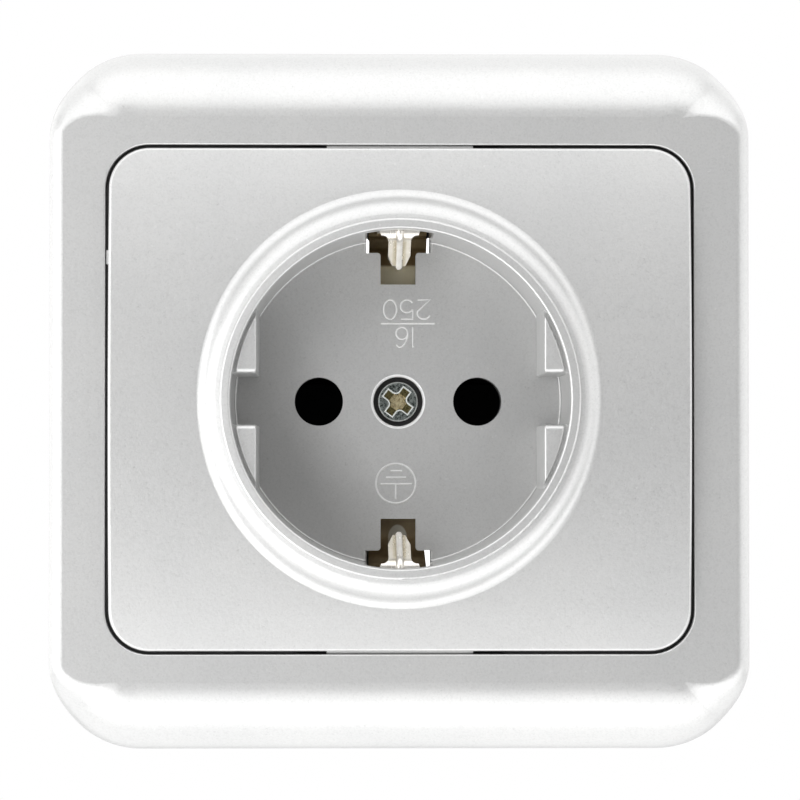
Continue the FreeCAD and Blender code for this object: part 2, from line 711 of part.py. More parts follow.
def inside_opening(edge):
    """Test for an edge within the frame's opening."""
    box = edge.BoundBox
    return (max(abs(box.XMin), abs(box.XMax)) < opening_width.value / 2 + 0.01
            and max(abs(box.ZMin), abs(box.ZMax)) < opening_height.value / 2 + 0.01)


def make_centre_plate():
    """Crowned plate with collar, plug well, guide ribs and floor, moulded in one piece."""
    body = new_body("centre_plate")
    skirt_back = plate_edge + d.plate_skirt
    half_height = d.plate_height / 2
    inner_width = d.plate_width - 2 * d.plate_skirt_wall
    inner_height = d.plate_height - 2 * d.plate_skirt_wall
    corner = d.opening_corner - (d.side_gap + d.end_gap) / 2
    add_between(body, "plate_outline", rim_level, skirt_back,
                lambda s: s.centred(d.plate_width, d.plate_height, corner))
    crown = Drawing(body, "plate_crown", "YZ_Plane")
    crown.crowned(plate_middle, crown_radius, half_height + OVERRUN, rim_level - OVERRUN)
    pocket(body, crown, d.plate_width + 2 * OVERRUN, symmetric=True)
    soften(body, "Fillet", "plate_rim_rounding", d.plate_rim_round, on_crown)
    flange_front = face_level + d.frame_wall + d.flange_play
    add_between(body, "flange", flange_front, flange_front + d.flange_thickness,
                lambda s: s.centred(opening_width + 2 * d.flange_reach,
                                    opening_height + 2 * d.flange_reach, d.opening_corner))
    flat_level = plate_edge + d.plate_skin
    cut_between(body, "plate_hollow", flat_level, skirt_back + OVERRUN,
                lambda s: s.centred(inner_width, inner_height, corner - d.plate_skirt_wall))
    vault = Drawing(body, "plate_vault", "YZ_Plane")
    vault.crowned(plate_middle + d.plate_skin, crown_radius - d.plate_skin,
                  inner_height / 2, flat_level + OVERRUN)
    pocket(body, vault, inner_width, symmetric=True)
    add_centring_ribs(body, half_height)
    add_feet(body)
    cut_between(body, "well_mouth", rim_level - OVERRUN, skirt_back,
                lambda s: s.circle(0, 0, well_radius + d.well_wall / 2))
    revolve(body, "well_section", draw_well)
    soften(body, "Fillet", "bead_foot_rounding", d.bead_foot, round_the_bead)
    add_guide_ribs(body)
    add_floor_boss(body)
    cut_floor(body)
    return body


def on_crown(edge):
    """Test for the edges round the plate's crowned face."""
    box = edge.BoundBox
    return box.YMax < plate_edge.value + 0.01


def round_the_bead(edge):
    """Test for the line where the bead meets the plate's face."""
    middle = edge.valueAt((edge.FirstParameter + edge.LastParameter) / 2)
    radius = crown_radius.value
    face = plate_middle.value + radius - math.sqrt(radius ** 2 - middle.z ** 2)
    away = math.hypot(middle.x, middle.z)
    return abs(middle.y - face) < 0.01 and abs(away - bead_radius.value) < 0.5


def draw_well(section):
    """Half section of the collar, the well's wall and its floor."""
    bead_level = rim_level + d.rim_step
    ring_edge = well_radius + d.rim_width
    inside_plate = plate_middle + 0.9 * d.plate_skin
    section.path([
        (0, floor_level),
        (well_radius, floor_level, d.floor_corner),
        (well_radius, rim_level, d.rim_round),
        (ring_edge, rim_level + d.rim_fall, d.rim_round),
        (ring_edge, bead_level),
        (bead_radius, bead_level + d.bead_fall, d.bead_round),
        (bead_radius, inside_plate),
        (well_outside, inside_plate),
        (well_outside, floor_back, d.floor_corner),
        (0, floor_back)])


def add_centring_ribs(body, half_height):
    """Ribs on the plate's edges that centre it in the frame's opening."""
    top = half_height + d.end_gap - d.centring_play
    root_level = half_height - d.plate_skirt_wall / 2
    front = plate_edge + d.plate_rim_round / 2
    for name, length, drop in (("rib", d.centring_length, 0),
                               ("rib_step", d.centring_length + 2 * d.centring_step,
                                d.frame_wall / 2)):
        for side, sign in (("top", 1), ("bottom", -1)):
            section = Drawing(body, "%s_%s" % (side, name), "YZ_Plane")
            section.path([(front + drop, sign * root_level),
                          (front + drop, sign * half_height),
                          (front + drop + d.end_gap, sign * top),
                          (front + d.frame_wall, sign * top),
                          (front + d.frame_wall, sign * root_level)])
            pad(body, section, length, symmetric=True)
    edge = -d.plate_width / 2
    add_between(body, "left_nib", plate_edge - d.plate_crown / 2, plate_edge + d.frame_wall,
                lambda s: s.rectangle(edge - d.side_gap / 2, edge + d.plate_skirt_wall / 2,
                                      d.nib_level - d.nib_length / 2,
                                      d.nib_level + d.nib_length / 2))


def add_feet(body):
    """Four feet that rest the plate on the support ring."""
    across = d.plate_width / 2 - d.plate_skirt_wall - 2 * d.foot_size
    up = d.plate_height / 2 - d.plate_skirt_wall - d.foot_size
    def draw(plan):
        for side in (-1, 1):
            for end in (-1, 1):
                xs = sorted([side * across, side * (across + d.foot_size)], key=lambda v: v.value)
                zs = sorted([end * up, end * (up + d.foot_size)], key=lambda v: v.value)
                plan.rectangle(xs[0], xs[1], zs[0], zs[1])
    add_between(body, "feet", plate_edge + d.plate_skin - 1,
                wall_level - d.ring_thickness - d.foot_gap, draw)


def add_guide_ribs(body):
    """Four ribs that guide a plug, two on each side of the well."""
    notch = d.guide_notch / 2
    embedded = well_radius + d.well_wall / 2
    def draw_all(plan, chord, start, radius):
        for side in (-1, 1):
            for end in (-1, 1):
                plan.segment(side, end, chord, start, radius)
    low_end = rim_level + d.guide_drop
    high_end = low_end - d.guide_step
    add_between(body, "guide_ribs", low_end, floor_level + d.floor_thickness / 2,
                lambda s: draw_all(s, guide_chord, notch, embedded))
    add_between(body, "guide_rib_ends", high_end, low_end + d.guide_step,
                lambda s: draw_all(s, guide_chord, notch, well_radius - d.guide_inset))
    soften(body, "Fillet", "guide_end_rounding", d.guide_end_round, at_notch(high_end, notch))
    soften(body, "Fillet", "guide_rounding", d.guide_round, on_guide_end(high_end))


def at_notch(level, notch):
    """Test for the guide ribs' end edges beside the notch."""
    def test(edge):
        box = edge.BoundBox
        return (lies_in_front(level)(edge) and near(box.ZLength, 0)
                and near(abs(box.ZMin), notch))
    return test


def on_guide_end(level):
    """Test for the guide ribs' other end edges."""
    def test(edge):
        box = edge.BoundBox
        return lies_in_front(level)(edge) and box.ZLength > 1
    return test


def add_floor_boss(body):
    add_between(body, "floor_boss", floor_level + d.floor_thickness / 2, boss_back,
                lambda s: s.circle(0, 0, d.boss_radius))


def cut_floor(body):
    """Holes in the floor, and the openings that let the earth clips into the well."""
    head_seat = floor_level + d.head_hole_depth
    cut_between(body, "shank_hole", floor_level, boss_back + OVERRUN,
                lambda s: s.circle(0, 0, d.shank_hole_radius))
    cut_between(body, "head_hole", floor_level - OVERRUN, head_seat,
                lambda s: s.circle(0, 0, d.head_hole_radius))
    soften(body, "Fillet", "head_hole_rounding", d.head_hole_round,
           lambda e: lies_in_front(floor_level)(e) and near(e.BoundBox.XMax, d.head_hole_radius)
           and near(e.BoundBox.XMin, -d.head_hole_radius))

    def pin_holes(plan):
        for side in (-1, 1):
            plan.circle(side * d.pin_pitch / 2, 0, d.pin_hole_radius)
    cut_between(body, "pin_holes", floor_level - OVERRUN, floor_back + OVERRUN, pin_holes)

    def clip_openings(plan):
        stem, arm = d.clip_stem_width / 2, d.clip_arm_width / 2
        outside = well_outside + d.well_wall / 4
        for end in (-1, 1):
            plan.path([(-stem, end * clip_stem_start), (stem, end * clip_stem_start),
                       (stem, end * clip_arm_start, d.clip_corner),
                       (arm, end * clip_arm_start), (arm, end * outside),
                       (-arm, end * outside), (-arm, end * clip_arm_start),
                       (-stem, end * clip_arm_start, d.clip_corner)])
    cut_between(body, "clip_openings", rim_level + d.window_top, floor_back + OVERRUN,
                clip_openings)
    soften(body, "Fillet", "clip_rounding", d.clip_round, beside_clip_arm)


def beside_clip_arm(edge):
    """Test for the floor's edges along the wide part of a clip opening."""
    box = edge.BoundBox
    return (lies_in_front(floor_level)(edge) and near(box.XLength, 0)
            and near(abs(box.XMin), d.clip_arm_width / 2))


def make_centre_screw():
    """Pan-head screw with a cross recess that holds the plate to the insert."""
    body = new_body("centre_screw")
    seat = floor_level + d.head_hole_depth
    top = seat - d.screw_head_height
    revolve(body, "screw_section", lambda s: s.path([
        (0, top), (d.screw_head_radius, top, d.screw_head_round),
        (d.screw_head_radius, seat), (d.screw_radius, seat),
        (d.screw_radius, seat + d.screw_length, d.screw_radius / 3),
        (0, seat + d.screw_length)]))
    cut_cross(body, "cross_recess", top, d.screw_recess_reach, d.screw_recess_depth)
    cut_cross(body, "cross_core", top, d.screw_core_reach, d.screw_core_depth)
    return body


def cut_cross(body, name, top, reach, depth):
    """Cut a cross into the screw's face at top, its arms joined by roundings."""
    arm = d.screw_recess_width / 2
    recess = Drawing(body, name, "XZ_Plane", -top)
    recess.sketch.AttachmentOffset = Placement(recess.sketch.AttachmentOffset.Base,
                                               Rotation(Vector(0, 0, 1), SCREW_TURN))
    bend = (reach - arm) / 2
    recess.path([(arm, arm, bend), (arm, reach), (-arm, reach), (-arm, arm, bend),
                 (-reach, arm), (-reach, -arm), (-arm, -arm, bend), (-arm, -reach),
                 (arm, -reach), (arm, -arm, bend), (reach, -arm), (reach, arm)])
    pocket(body, recess, depth)


def at_corners(place):
    """The four places on the diagonals at a distance from the axis."""
    leg = place / root(as_size(2))
    return [(x * leg, z * leg) for x in (-1, 1) for z in (-1, 1)]


def make_support_ring():
    """Pressed steel ring that carries the insert and is screwed to the wall box."""
    body = new_body("support_ring")
    sheet = d.ring_thickness

    def eight_sides(plan, inset):
        side = frame_width / 2 - d.ring_side_inset
        end = frame_height / 2 - d.ring_end_inset
        short, low = side - d.ring_corner, end - d.ring_corner
        side, end = side - inset, end - inset
        plan.path([(-short, -end), (short, -end), (side, -low), (side, low),
                   (short, end), (-short, end), (-side, low), (-side, -low)])
    add_between(body, "ring_edge", -sheet - d.ring_rim, wall_level,
                lambda s: eight_sides(s, as_size(0)))
    cut_between(body, "ring_dish", -sheet - d.ring_rim - OVERRUN, -sheet,
                lambda s: eight_sides(s, sheet))

    def openings(plan):
        plan.circle(0, 0, cup_inside)
        for side in (-1, 1):
            plan.slot(side * d.box_screw_pitch / 2, 0, d.box_slot_length, d.box_slot_width)
            plan.slot(0, side * d.box_screw_pitch / 2, d.box_slot_length, d.box_slot_width,
                      upright=True)
        for x, z in at_corners(ear_pitch):
            plan.circle(x, z, d.rivet_radius)
    cut_between(body, "ring_openings", -sheet - OVERRUN, wall_level + OVERRUN, openings)
    return body


def make_pins(label, places, shank, head, front, seat, back):
    """Several equal rivets or screws with flat heads, all along the y axis."""
    body = new_body(label)

    def circles(radius):
        def draw(plan):
            for x, z in places:
                plan.circle(x, z, radius)
        return draw
    add_between(body, label + "_heads", front, seat, circles(head))
    add_between(body, label + "_shanks", seat, back, circles(shank))
    return body


def make_insert_base():
    """Moulded body with the cup for the well, the contact chambers and the wire entries."""
    body = new_body("insert_base")
    add_between(body, "cup_outline", wall_level, d.base_depth,
                lambda s: s.circle(0, 0, cup_radius))

    def ears(plan):
        for x, z in at_corners(ear_pitch):
            plan.circle(x, z, d.ear_radius)
    add_between(body, "ears", wall_level, d.ear_height, ears)

    def beyond_flats(plan):
        out = cup_radius + OVERRUN
        plan.centred(2 * out, 2 * out)
        plan.centred(2 * (cup_radius - d.side_flat_cut), 2 * (cup_radius - d.end_flat_cut))
    cut_between(body, "base_flats", d.base_flat_start, d.base_depth + OVERRUN, beyond_flats)
    cut_between(body, "cup_hollow", wall_level - OVERRUN, base_front,
                lambda s: s.circle(0, 0, cup_inside))
    cut_between(body, "boss_seat", base_front - OVERRUN, boss_back,
                lambda s: s.circle(0, 0, d.boss_radius + d.strap_play))
    cut_between(body, "ear_holes", wall_level - OVERRUN, d.rivet_length,
                lambda s: [s.circle(x, z, d.rivet_radius) for x, z in at_corners(ear_pitch)])
    cut_chambers(body)
    cut_strap_channel(body)
    cut_base_holes(body)
    return body


def cut_chambers(body):
    """Room for the contacts and terminals, and the ways in for wires and screwdriver."""
    near_end = d.pin_pitch / 2 - contact_width / 2 - d.chamber_play
    half = clamp_half_width() + d.chamber_play
    inner = bracket_place - d.contact_thickness / 2 - d.clamp_wall - d.chamber_play

    def chambers(plan):
        plan.rectangle(near_end, chamber_end, -half, half)
        plan.rectangle(-chamber_end, -near_end, -half, half)
        plan.rectangle(-half, half, -chamber_end + d.chamber_play, -inner)
    cut_between(body, "chambers", base_front - OVERRUN, chamber_floor, chambers)
    for side, start, end in (("right", chamber_end - OVERRUN, cup_radius + OVERRUN),
                             ("left", -cup_radius - OVERRUN, -chamber_end + OVERRUN)):
        cut_along(body, side + "_driver_way", "YZ_Plane", start, end,
                  lambda s: s.circle(clamp_axis, 0, d.driver_hole_radius))
    cut_along(body, "earth_driver_way", "XY_Plane", -cup_radius - OVERRUN,
              -chamber_end + OVERRUN, lambda s: s.circle(0, clamp_axis, d.driver_hole_radius))

    def wire_entries(plan):
        out = tail_place + d.contact_thickness / 2 + d.clamp_wire_room / 2
        down = bracket_place + d.contact_thickness / 2 + d.clamp_wire_room / 2
        for shift in (-1, 1):
            plan.circle(out, shift * d.wire_hole_pitch / 2, d.wire_hole_radius)
            plan.circle(-out, shift * d.wire_hole_pitch / 2, d.wire_hole_radius)
            plan.circle(shift * d.wire_hole_pitch / 2, -down, d.wire_hole_radius)
    cut_between(body, "wire_entries", chamber_floor - OVERRUN, d.base_depth + OVERRUN,
                wire_entries)


def clamp_half_width():
    return d.clamp_width / 2 + d.clamp_wall


def cut_strap_channel(body):
    """Channel for the earth strap, deeper under its stepped ends and under the bracket."""
    half = d.strap_width / 2 + d.strap_play
    end = leg_reach + d.strap_thickness / 2 + d.chamber_play
    deep = channel_floor + d.strap_drop
    cut_between(body, "strap_channel", base_front - OVERRUN, channel_floor,
                lambda s: s.centred(2 * half, 2 * end))

    def deep_ends(plan):
        start = strap_drop_start - d.strap_play
        plan.rectangle(-half, half, start, end)
        plan.rectangle(-half, half, -end, -start)
    cut_between(body, "strap_channel_ends", channel_floor - d.strap_play, deep, deep_ends)
    bracket = d.bracket_width / 2 + d.strap_play
    cut_between(body, "bracket_channel", channel_floor - d.strap_play,
                strap_back + d.contact_thickness,
                lambda s: s.rectangle(-bracket, bracket, -bracket_place - d.chamber_play,
                                      -d.bracket_start + d.strap_play))


def cut_base_holes(body):
    """Holes for the bush, the rivets and the cover's screws, and hollows in the back."""
    bush_end = strap_back + d.bush_length
    cut_between(body, "bush_hole", channel_floor - OVERRUN, bush_end,
                lambda s: s.circle(0, 0, d.bush_radius))
    cut_between(body, "shank_room", bush_end - OVERRUN,
                floor_level + d.head_hole_depth + d.screw_length + OVERRUN,
                lambda s: s.circle(0, 0, d.shank_hole_radius))
    cut_between(body, "strap_rivet_holes", channel_floor - OVERRUN,
                strap_front + d.strap_rivet_length,
                lambda s: [s.circle(0, side * d.strap_rivet_place, d.strap_rivet_radius)
                           for side in (-1, 1)])
    cut_between(body, "cover_screw_holes", base_front - OVERRUN,
                cover_front + d.cover_screw_length,
                lambda s: [s.circle(x, z, d.cover_screw_radius) for x, z in cover_screw_places()])

    def hollows(plan):
        near_corner, far = d.recess_place, d.recess_place + d.recess_size
        for left, right in ((near_corner, far), (-far, -near_corner)):
            for low, high in ((near_corner, far), (-far, -near_corner)):
                plan.rectangle(left, right, low, high, d.recess_round)
    cut_between(body, "back_hollows", d.base_depth - d.recess_depth, d.base_depth + OVERRUN,
                hollows)


def cover_screw_places():
    corners = at_corners(cover_screw_place)
    return [corners[0], corners[-1]]


def make_contact_cover():
    """Insulating disc between the well's floor and the live contacts."""
    body = new_body("contact_cover")
    add_between(body, "cover_disc", cover_front, base_front,
                lambda s: s.circle(0, 0, cover_radius))

    def openings(plan):
        plan.circle(0, 0, d.boss_radius + d.strap_play)
        for side in (-1, 1):
            plan.circle(side * d.pin_pitch / 2, 0, d.pin_hole_radius)
            notch = sorted([side * (clip_stem_start - d.chamber_play),
                            side * (cover_radius + OVERRUN)], key=lambda v: v.value)
            plan.rectangle(-d.clip_arm_width / 2, d.clip_arm_width / 2, notch[0], notch[1])
        for x, z in cover_screw_places():
            plan.circle(x, z, d.cover_screw_radius)
    cut_between(body, "cover_openings", cover_front - OVERRUN, base_front + OVERRUN, openings)
    cut_between(body, "cover_screw_seats", cover_front - OVERRUN,
                cover_front + d.cover_screw_head_height,
                lambda s: [s.circle(x, z, d.cover_screw_head) for x, z in cover_screw_places()])
    cut_between(body, "rivet_head_room", strap_front - d.strap_rivet_rise - d.strap_play,
                base_front + OVERRUN,
                lambda s: [s.circle(0, side * d.strap_rivet_place,
                                    d.strap_rivet_head + d.strap_play) for side in (-1, 1)])
    return body


def make_earth_strap():
    """Brass strap with a sprung earth finger at each end."""
    body = new_body("earth_strap")
    half_sheet = d.strap_thickness / 2
    tip = rim_level + d.leg_tip + half_sheet
    finger = leg_reach - d.hairpin
    contact = finger_contact + half_sheet
    contact_level = rim_level + d.finger_contact_depth
    bends = [(tip, leg_reach, d.hairpin_bend),
             (tip, finger, d.hairpin_bend),
             (contact_level, contact, d.finger_bow),
             (contact_level + d.finger_end, contact + d.finger_spread)]
    strip = sweep(body, "upper_half", "XY_Plane", 0,
                  lambda s: s.rectangle(-d.strap_width / 2, d.strap_width / 2,
                                        strap_front, strap_back),
                  "YZ_Plane", 0,
                  [(strap_middle, 0),
                   (strap_middle, strap_drop_start, d.strap_bend),
                   (deep_middle, strap_drop_start + d.strap_drop, d.strap_bend),
                   (deep_middle, leg_reach, d.strap_bend)] + bends)
    mirror_step(body, "lower_half", strip, "XY_Plane")
    wide, narrow, point = d.leg_width / 2, d.finger_width / 2, d.finger_tip_width / 2
    wing, out = d.wing_width / 2, d.strap_width / 2 + OVERRUN
    low, high = finger_contact - 2 * OVERRUN, leg_reach + 2 * OVERRUN

    def trimmings(plan):
        for end in (-1, 1):
            for side in (-1, 1):
                plan.path([(side * out, end * low),
                           (side * point, end * low),
                           (side * point, end * finger_contact),
                           (side * narrow, end * (finger_contact + d.finger_taper)),
                           (side * narrow, end * finger, 0.8 * (wing - narrow)),
                           (side * wing, end * finger),
                           (side * wide, end * (finger + d.hairpin / 2)),
                           (side * wide, end * high),
                           (side * out, end * high)])
    cut_between(body, "finger_trimming", tip - 2 * OVERRUN, strap_front - OVERRUN, trimmings)
    bead = sweep(body, "finger_bead", "XZ_Plane", -(tip + 2 * d.hairpin_bend),
                 lambda s: s.circle(0, leg_reach + half_sheet - 0.2 * d.finger_bead,
                                    d.finger_bead),
                 "YZ_Plane", 0, [(tip + 2 * d.hairpin_bend, leg_reach)] + bends)
    mirror_step(body, "lower_finger_bead", bead, "XY_Plane")
    cut_between(body, "strap_holes", strap_front - OVERRUN, strap_back + OVERRUN,
                lambda s: [s.circle(0, 0, d.strap_hole)] +
                          [s.circle(0, side * d.strap_rivet_place, d.strap_rivet_radius)
                           for side in (-1, 1)])
    return body


def make_earth_bracket():
    """Angle under the earth strap whose leg reaches into the earth terminal."""
    body = new_body("earth_bracket")
    middle = strap_back + d.contact_thickness / 2
    half = d.bracket_width / 2
    sweep(body, "bracket_strip", "XY_Plane", -d.bracket_start,
          lambda s: s.rectangle(-half, half, strap_back, strap_back + d.contact_thickness),
          "YZ_Plane", 0,
          [(middle, -d.bracket_start), (middle, -bracket_place, d.contact_bend),
           (bracket_tip, -bracket_place)])
    cut_between(body, "bracket_hole", strap_back - OVERRUN,
                strap_back + d.contact_thickness + OVERRUN,
                lambda s: s.circle(0, -d.strap_rivet_place, d.strap_rivet_radius))
    return body


def make_screw_bush():
    """Threaded brass bush in the base that takes the centre screw."""
    body = new_body("screw_bush")

    def ring(plan):
        plan.circle(0, 0, d.bush_radius)
        plan.circle(0, 0, d.screw_radius)
    add_between(body, "bush_ring", strap_back, strap_back + d.bush_length, ring)
    return body


def make_contact():
    """Right contact: a fork that grips a pin, with a tail for the terminal."""
    body = new_body("right_contact")
    axis, half, sheet = d.pin_pitch / 2, contact_width / 2, d.contact_thickness / 2
    leaf = d.pin_radius + d.contact_grip + sheet
    grip = contact_start + d.contact_mouth
    leaves = sweep(body, "upper_leaf", "XY_Plane", 0,
                   lambda s: s.rectangle(axis - half, axis + half,
                                         web_middle - sheet, web_middle + sheet),
                   "YZ_Plane", axis,
                   [(web_middle, 0),
                    (web_middle, leaf + d.contact_waist, d.contact_bend),
                    (grip, leaf, 2 * d.contact_bend),
                    (contact_start, leaf + d.contact_flare)])
    mirror_step(body, "lower_leaf", leaves, "XY_Plane")
    sweep(body, "tail", "YZ_Plane", axis,
          lambda s: s.rectangle(web_middle - sheet, web_middle + sheet,
                                -d.tail_width / 2, d.tail_width / 2),
          "XY_Plane", 0,
          [(axis, web_middle), (tail_place, web_middle, d.contact_bend),
           (tail_place, clamp_front - d.contact_bend)])
    return body


def make_contact_spring():
    """Right steel spring that presses the leaves of a contact fork together."""
    body = new_body("right_contact_spring")
    axis, half = d.pin_pitch / 2, spring_width / 2
    middle = chamber_floor - d.spring_thickness / 2
    grip = contact_start + d.contact_mouth
    offset = (d.contact_thickness + d.spring_thickness) / 2 + d.spring_play
    leaf = d.pin_radius + d.contact_grip + d.contact_thickness / 2 + offset
    arms = sweep(body, "upper_arm", "XY_Plane", 0,
                 lambda s: s.rectangle(axis - half, axis + half,
                                       chamber_floor - d.spring_thickness, chamber_floor),
                 "YZ_Plane", axis,
                 [(middle, 0), (middle, leaf + d.contact_waist, d.contact_bend),
                  (grip + d.contact_bend, leaf)])
    mirror_step(body, "lower_arm", arms, "XY_Plane")
    return body


def make_clamp(label, middle_x, inner, outer, upright):
    """Steel cage of a terminal, round a flat tail, with a threaded hole for its screw."""
    body = new_body(label)
    wall, half = d.clamp_wall, clamp_half_width()

    def section(plan):
        if upright:
            plan.rectangle(-half, half, -outer, -inner)
            plan.rectangle(wall - half, half - wall, wall - outer, -wall - inner)
        else:
            plan.rectangle(inner, outer, -half, half)
            plan.rectangle(inner + wall, outer - wall, wall - half, half - wall)
    add_between(body, label + "_cage", clamp_front, clamp_front + clamp_length, section)
    if upright:
        cut_along(body, label + "_thread", "XY_Plane", -outer - OVERRUN, -outer + wall + OVERRUN,
                  lambda s: s.circle(0, clamp_axis, d.clamp_screw_radius))
    else:
        cut_along(body, label + "_thread", "YZ_Plane", outer - wall - OVERRUN, outer + OVERRUN,
                  lambda s: s.circle(clamp_axis, 0, d.clamp_screw_radius))
    return body


def clamp_reach(place):
    """A clamp's inner and outer faces, for a tail at a place from the axis."""
    inner = place - d.contact_thickness / 2 - d.clamp_wall
    return inner, inner + d.clamp_inner + 2 * d.clamp_wall


def make_side_clamp_screw():
    """Right terminal screw, along the x axis."""
    body = new_body("right_clamp_screw")
    inner, outer = clamp_reach(tail_place)
    tip = tail_place + d.contact_thickness / 2 + d.clamp_wire_room
    seat = outer + d.strap_play
    end = seat + d.clamp_head_height
    add_along(body, "side_shank", "YZ_Plane", tip, seat,
              lambda s: s.circle(clamp_axis, 0, d.clamp_screw_radius))
    add_along(body, "side_head", "YZ_Plane", seat, end,
              lambda s: s.circle(clamp_axis, 0, d.clamp_head_radius))
    slot = d.clamp_slot_width / 2
    out = d.clamp_head_radius + OVERRUN
    cut_along(body, "side_slot", "YZ_Plane", end - d.clamp_slot_depth, end,
              lambda s: s.rectangle(clamp_axis - out, clamp_axis + out, -slot, slot))
    return body


def make_earth_clamp_screw():
    """Earth terminal screw, along the z axis."""
    body = new_body("earth_clamp_screw")
    inner, outer = clamp_reach(bracket_place)
    tip = bracket_place + d.contact_thickness / 2 + d.clamp_wire_room
    seat = outer + d.strap_play
    end = seat + d.clamp_head_height
    add_along(body, "earth_shank", "XY_Plane", -seat, -tip,
              lambda s: s.circle(0, clamp_axis, d.clamp_screw_radius))
    add_along(body, "earth_head", "XY_Plane", -end, -seat,
              lambda s: s.circle(0, clamp_axis, d.clamp_head_radius))
    slot = d.clamp_slot_width / 2
    out = d.clamp_head_radius + OVERRUN
    groove = Drawing(body, "earth_slot", "XY_Plane", -end + d.clamp_slot_depth)
    groove.rectangle(-slot, slot, clamp_axis - out, clamp_axis + out)
    pocket(body, groove, d.clamp_slot_depth + OVERRUN)
    return body


def left_image(source):
    """The left piece of a pair, as the mirror image of the right one."""
    name = source.Label.replace("right", "left")
    piece = doc.addObject("Part::Mirroring", name)
    piece.Source = source
    piece.Normal = Vector(1, 0, 0)
    piece.Label = name
    doc.recompute()
    return piece


def make_terminals():
    """The pairs of contacts, springs, clamps and screws, and the earth terminal."""
    side_reach, earth_reach = clamp_reach(tail_place), clamp_reach(bracket_place)
    rights = [make_contact(), make_contact_spring(),
              make_clamp("right_clamp", tail_place, *side_reach, upright=False),
              make_side_clamp_screw()]
    lefts = [left_image(piece) for piece in rights]
    earth = [make_clamp("earth_clamp", 0, *earth_reach, upright=True), make_earth_clamp_screw()]
    return rights + lefts + earth


def make_all():
    """Every piece of the socket, from the room to the back of the box."""
    ear_places = at_corners(ear_pitch)
    rivet_places = [(as_size(0), side * d.strap_rivet_place) for side in (-1, 1)]
    return [
        make_cover_frame(),
        make_centre_plate(),
        make_centre_screw(),
        make_support_ring(),
        make_pins("ring_rivets", ear_places, d.rivet_radius, d.rivet_head_radius,
                  -d.ring_thickness - d.rivet_head_height, -d.ring_thickness,
                  d.rivet_length),
        make_insert_base(),
        make_contact_cover(),
        make_pins("cover_screws", cover_screw_places(), d.cover_screw_radius,
                  d.cover_screw_head, cover_front, cover_front + d.cover_screw_head_height,
                  cover_front + d.cover_screw_length),
        make_earth_strap(),
        make_earth_bracket(),
        make_pins("strap_rivets", rivet_places, d.strap_rivet_radius, d.strap_rivet_head,
                  strap_front - d.strap_rivet_rise, strap_front,
                  strap_front + d.strap_rivet_length),
        make_screw_bush(),
    ] + make_terminals()


def check_and_export(pieces):
    """Refuse a failed object or shape, then write each piece as its own file."""
    for item in doc.Objects:
        if "Invalid" in item.State or "Error" in item.State:
            raise RuntimeError("%s failed: %s" % (item.Name, item.State))
    os.makedirs("parts", exist_ok=True)
    for piece in pieces:
        if piece.Shape.isNull() or not piece.Shape.isValid():
            raise RuntimeError("%s has no valid shape" % piece.Label)
        piece.Shape.exportStep("parts/%s.step" % piece.Label)
        print("%-24s %2d solids %10.2f mm3" % (
            piece.Label, len(piece.Shape.Solids), piece.Shape.Volume))


check_and_export(make_all())
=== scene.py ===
import json
import math
from functools import cached_property

import bmesh
import bpy
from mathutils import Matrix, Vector


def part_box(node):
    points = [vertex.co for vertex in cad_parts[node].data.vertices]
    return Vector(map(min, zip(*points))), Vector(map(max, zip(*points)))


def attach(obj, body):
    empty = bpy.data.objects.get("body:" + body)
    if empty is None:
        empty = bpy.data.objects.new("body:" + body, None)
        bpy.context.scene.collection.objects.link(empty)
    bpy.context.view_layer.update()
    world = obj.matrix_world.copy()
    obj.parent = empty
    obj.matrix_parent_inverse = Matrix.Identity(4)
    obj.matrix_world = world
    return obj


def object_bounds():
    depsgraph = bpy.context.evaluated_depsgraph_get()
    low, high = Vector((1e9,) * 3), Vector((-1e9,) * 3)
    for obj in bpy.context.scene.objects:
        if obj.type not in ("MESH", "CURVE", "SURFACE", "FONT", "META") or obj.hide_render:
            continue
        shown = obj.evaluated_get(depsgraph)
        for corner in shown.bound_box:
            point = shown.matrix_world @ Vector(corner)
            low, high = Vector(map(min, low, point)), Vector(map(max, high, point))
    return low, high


MM = 0.001


def plain(box):
    """A box's two corners as plain lists of numbers."""
    return [list(map(float, corner)) for corner in box]


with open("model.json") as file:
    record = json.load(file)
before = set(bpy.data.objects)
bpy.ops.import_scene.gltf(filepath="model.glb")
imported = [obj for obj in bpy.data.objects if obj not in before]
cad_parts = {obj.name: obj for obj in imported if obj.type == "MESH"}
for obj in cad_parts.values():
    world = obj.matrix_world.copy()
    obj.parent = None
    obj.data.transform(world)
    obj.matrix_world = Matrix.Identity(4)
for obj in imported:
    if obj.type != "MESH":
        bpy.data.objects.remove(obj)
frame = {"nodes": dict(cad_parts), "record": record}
cad_box = plain(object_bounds())


def front_of(node):
    """Depth in mm of a CAD piece's foremost point."""
    return round(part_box(node)[0][1] / MM, 3)


def depth_at(node, x, z):
    """Depth in mm at which a CAD piece is first met, looking straight in from the room."""
    start = Vector((x * MM, cad_box[0][1] - MM, z * MM))
    place = frame["nodes"][node].ray_cast(start, (0.0, 1.0, 0.0))[1]
    return round(place.y / MM, 3)


# Places on the CAD pieces, in mm and degrees. Depths grow from the room into the wall box.
FRAME_FRONT = front_of("cover_frame")
WELL_FLOOR = depth_at("centre_plate", 0.0, 9.0)

# The gap round the centre plate, painted dark as painted shade: how far across and up it reaches, and how
# near to the well's axis.
GAP_ACROSS = 36.0
GAP_UP = 31.0
GAP_AWAY = 26.0

# The clip openings' arms, the fingers in them, the strap's corners painted dark as painted shadow, and the
# painted reflection of a finger on the lower strap.
CLIP_ARM = 17.8
FINGER_HALF_WIDTH = 1.4
FINGER_BEND = (18.2, 19.0)
STRAP_CORNER = (16.4, 16.7)
FINGER_REFLECTION_HEIGHT = -16.45
FINGER_REFLECTION_RADII = (1.2, 1.7)
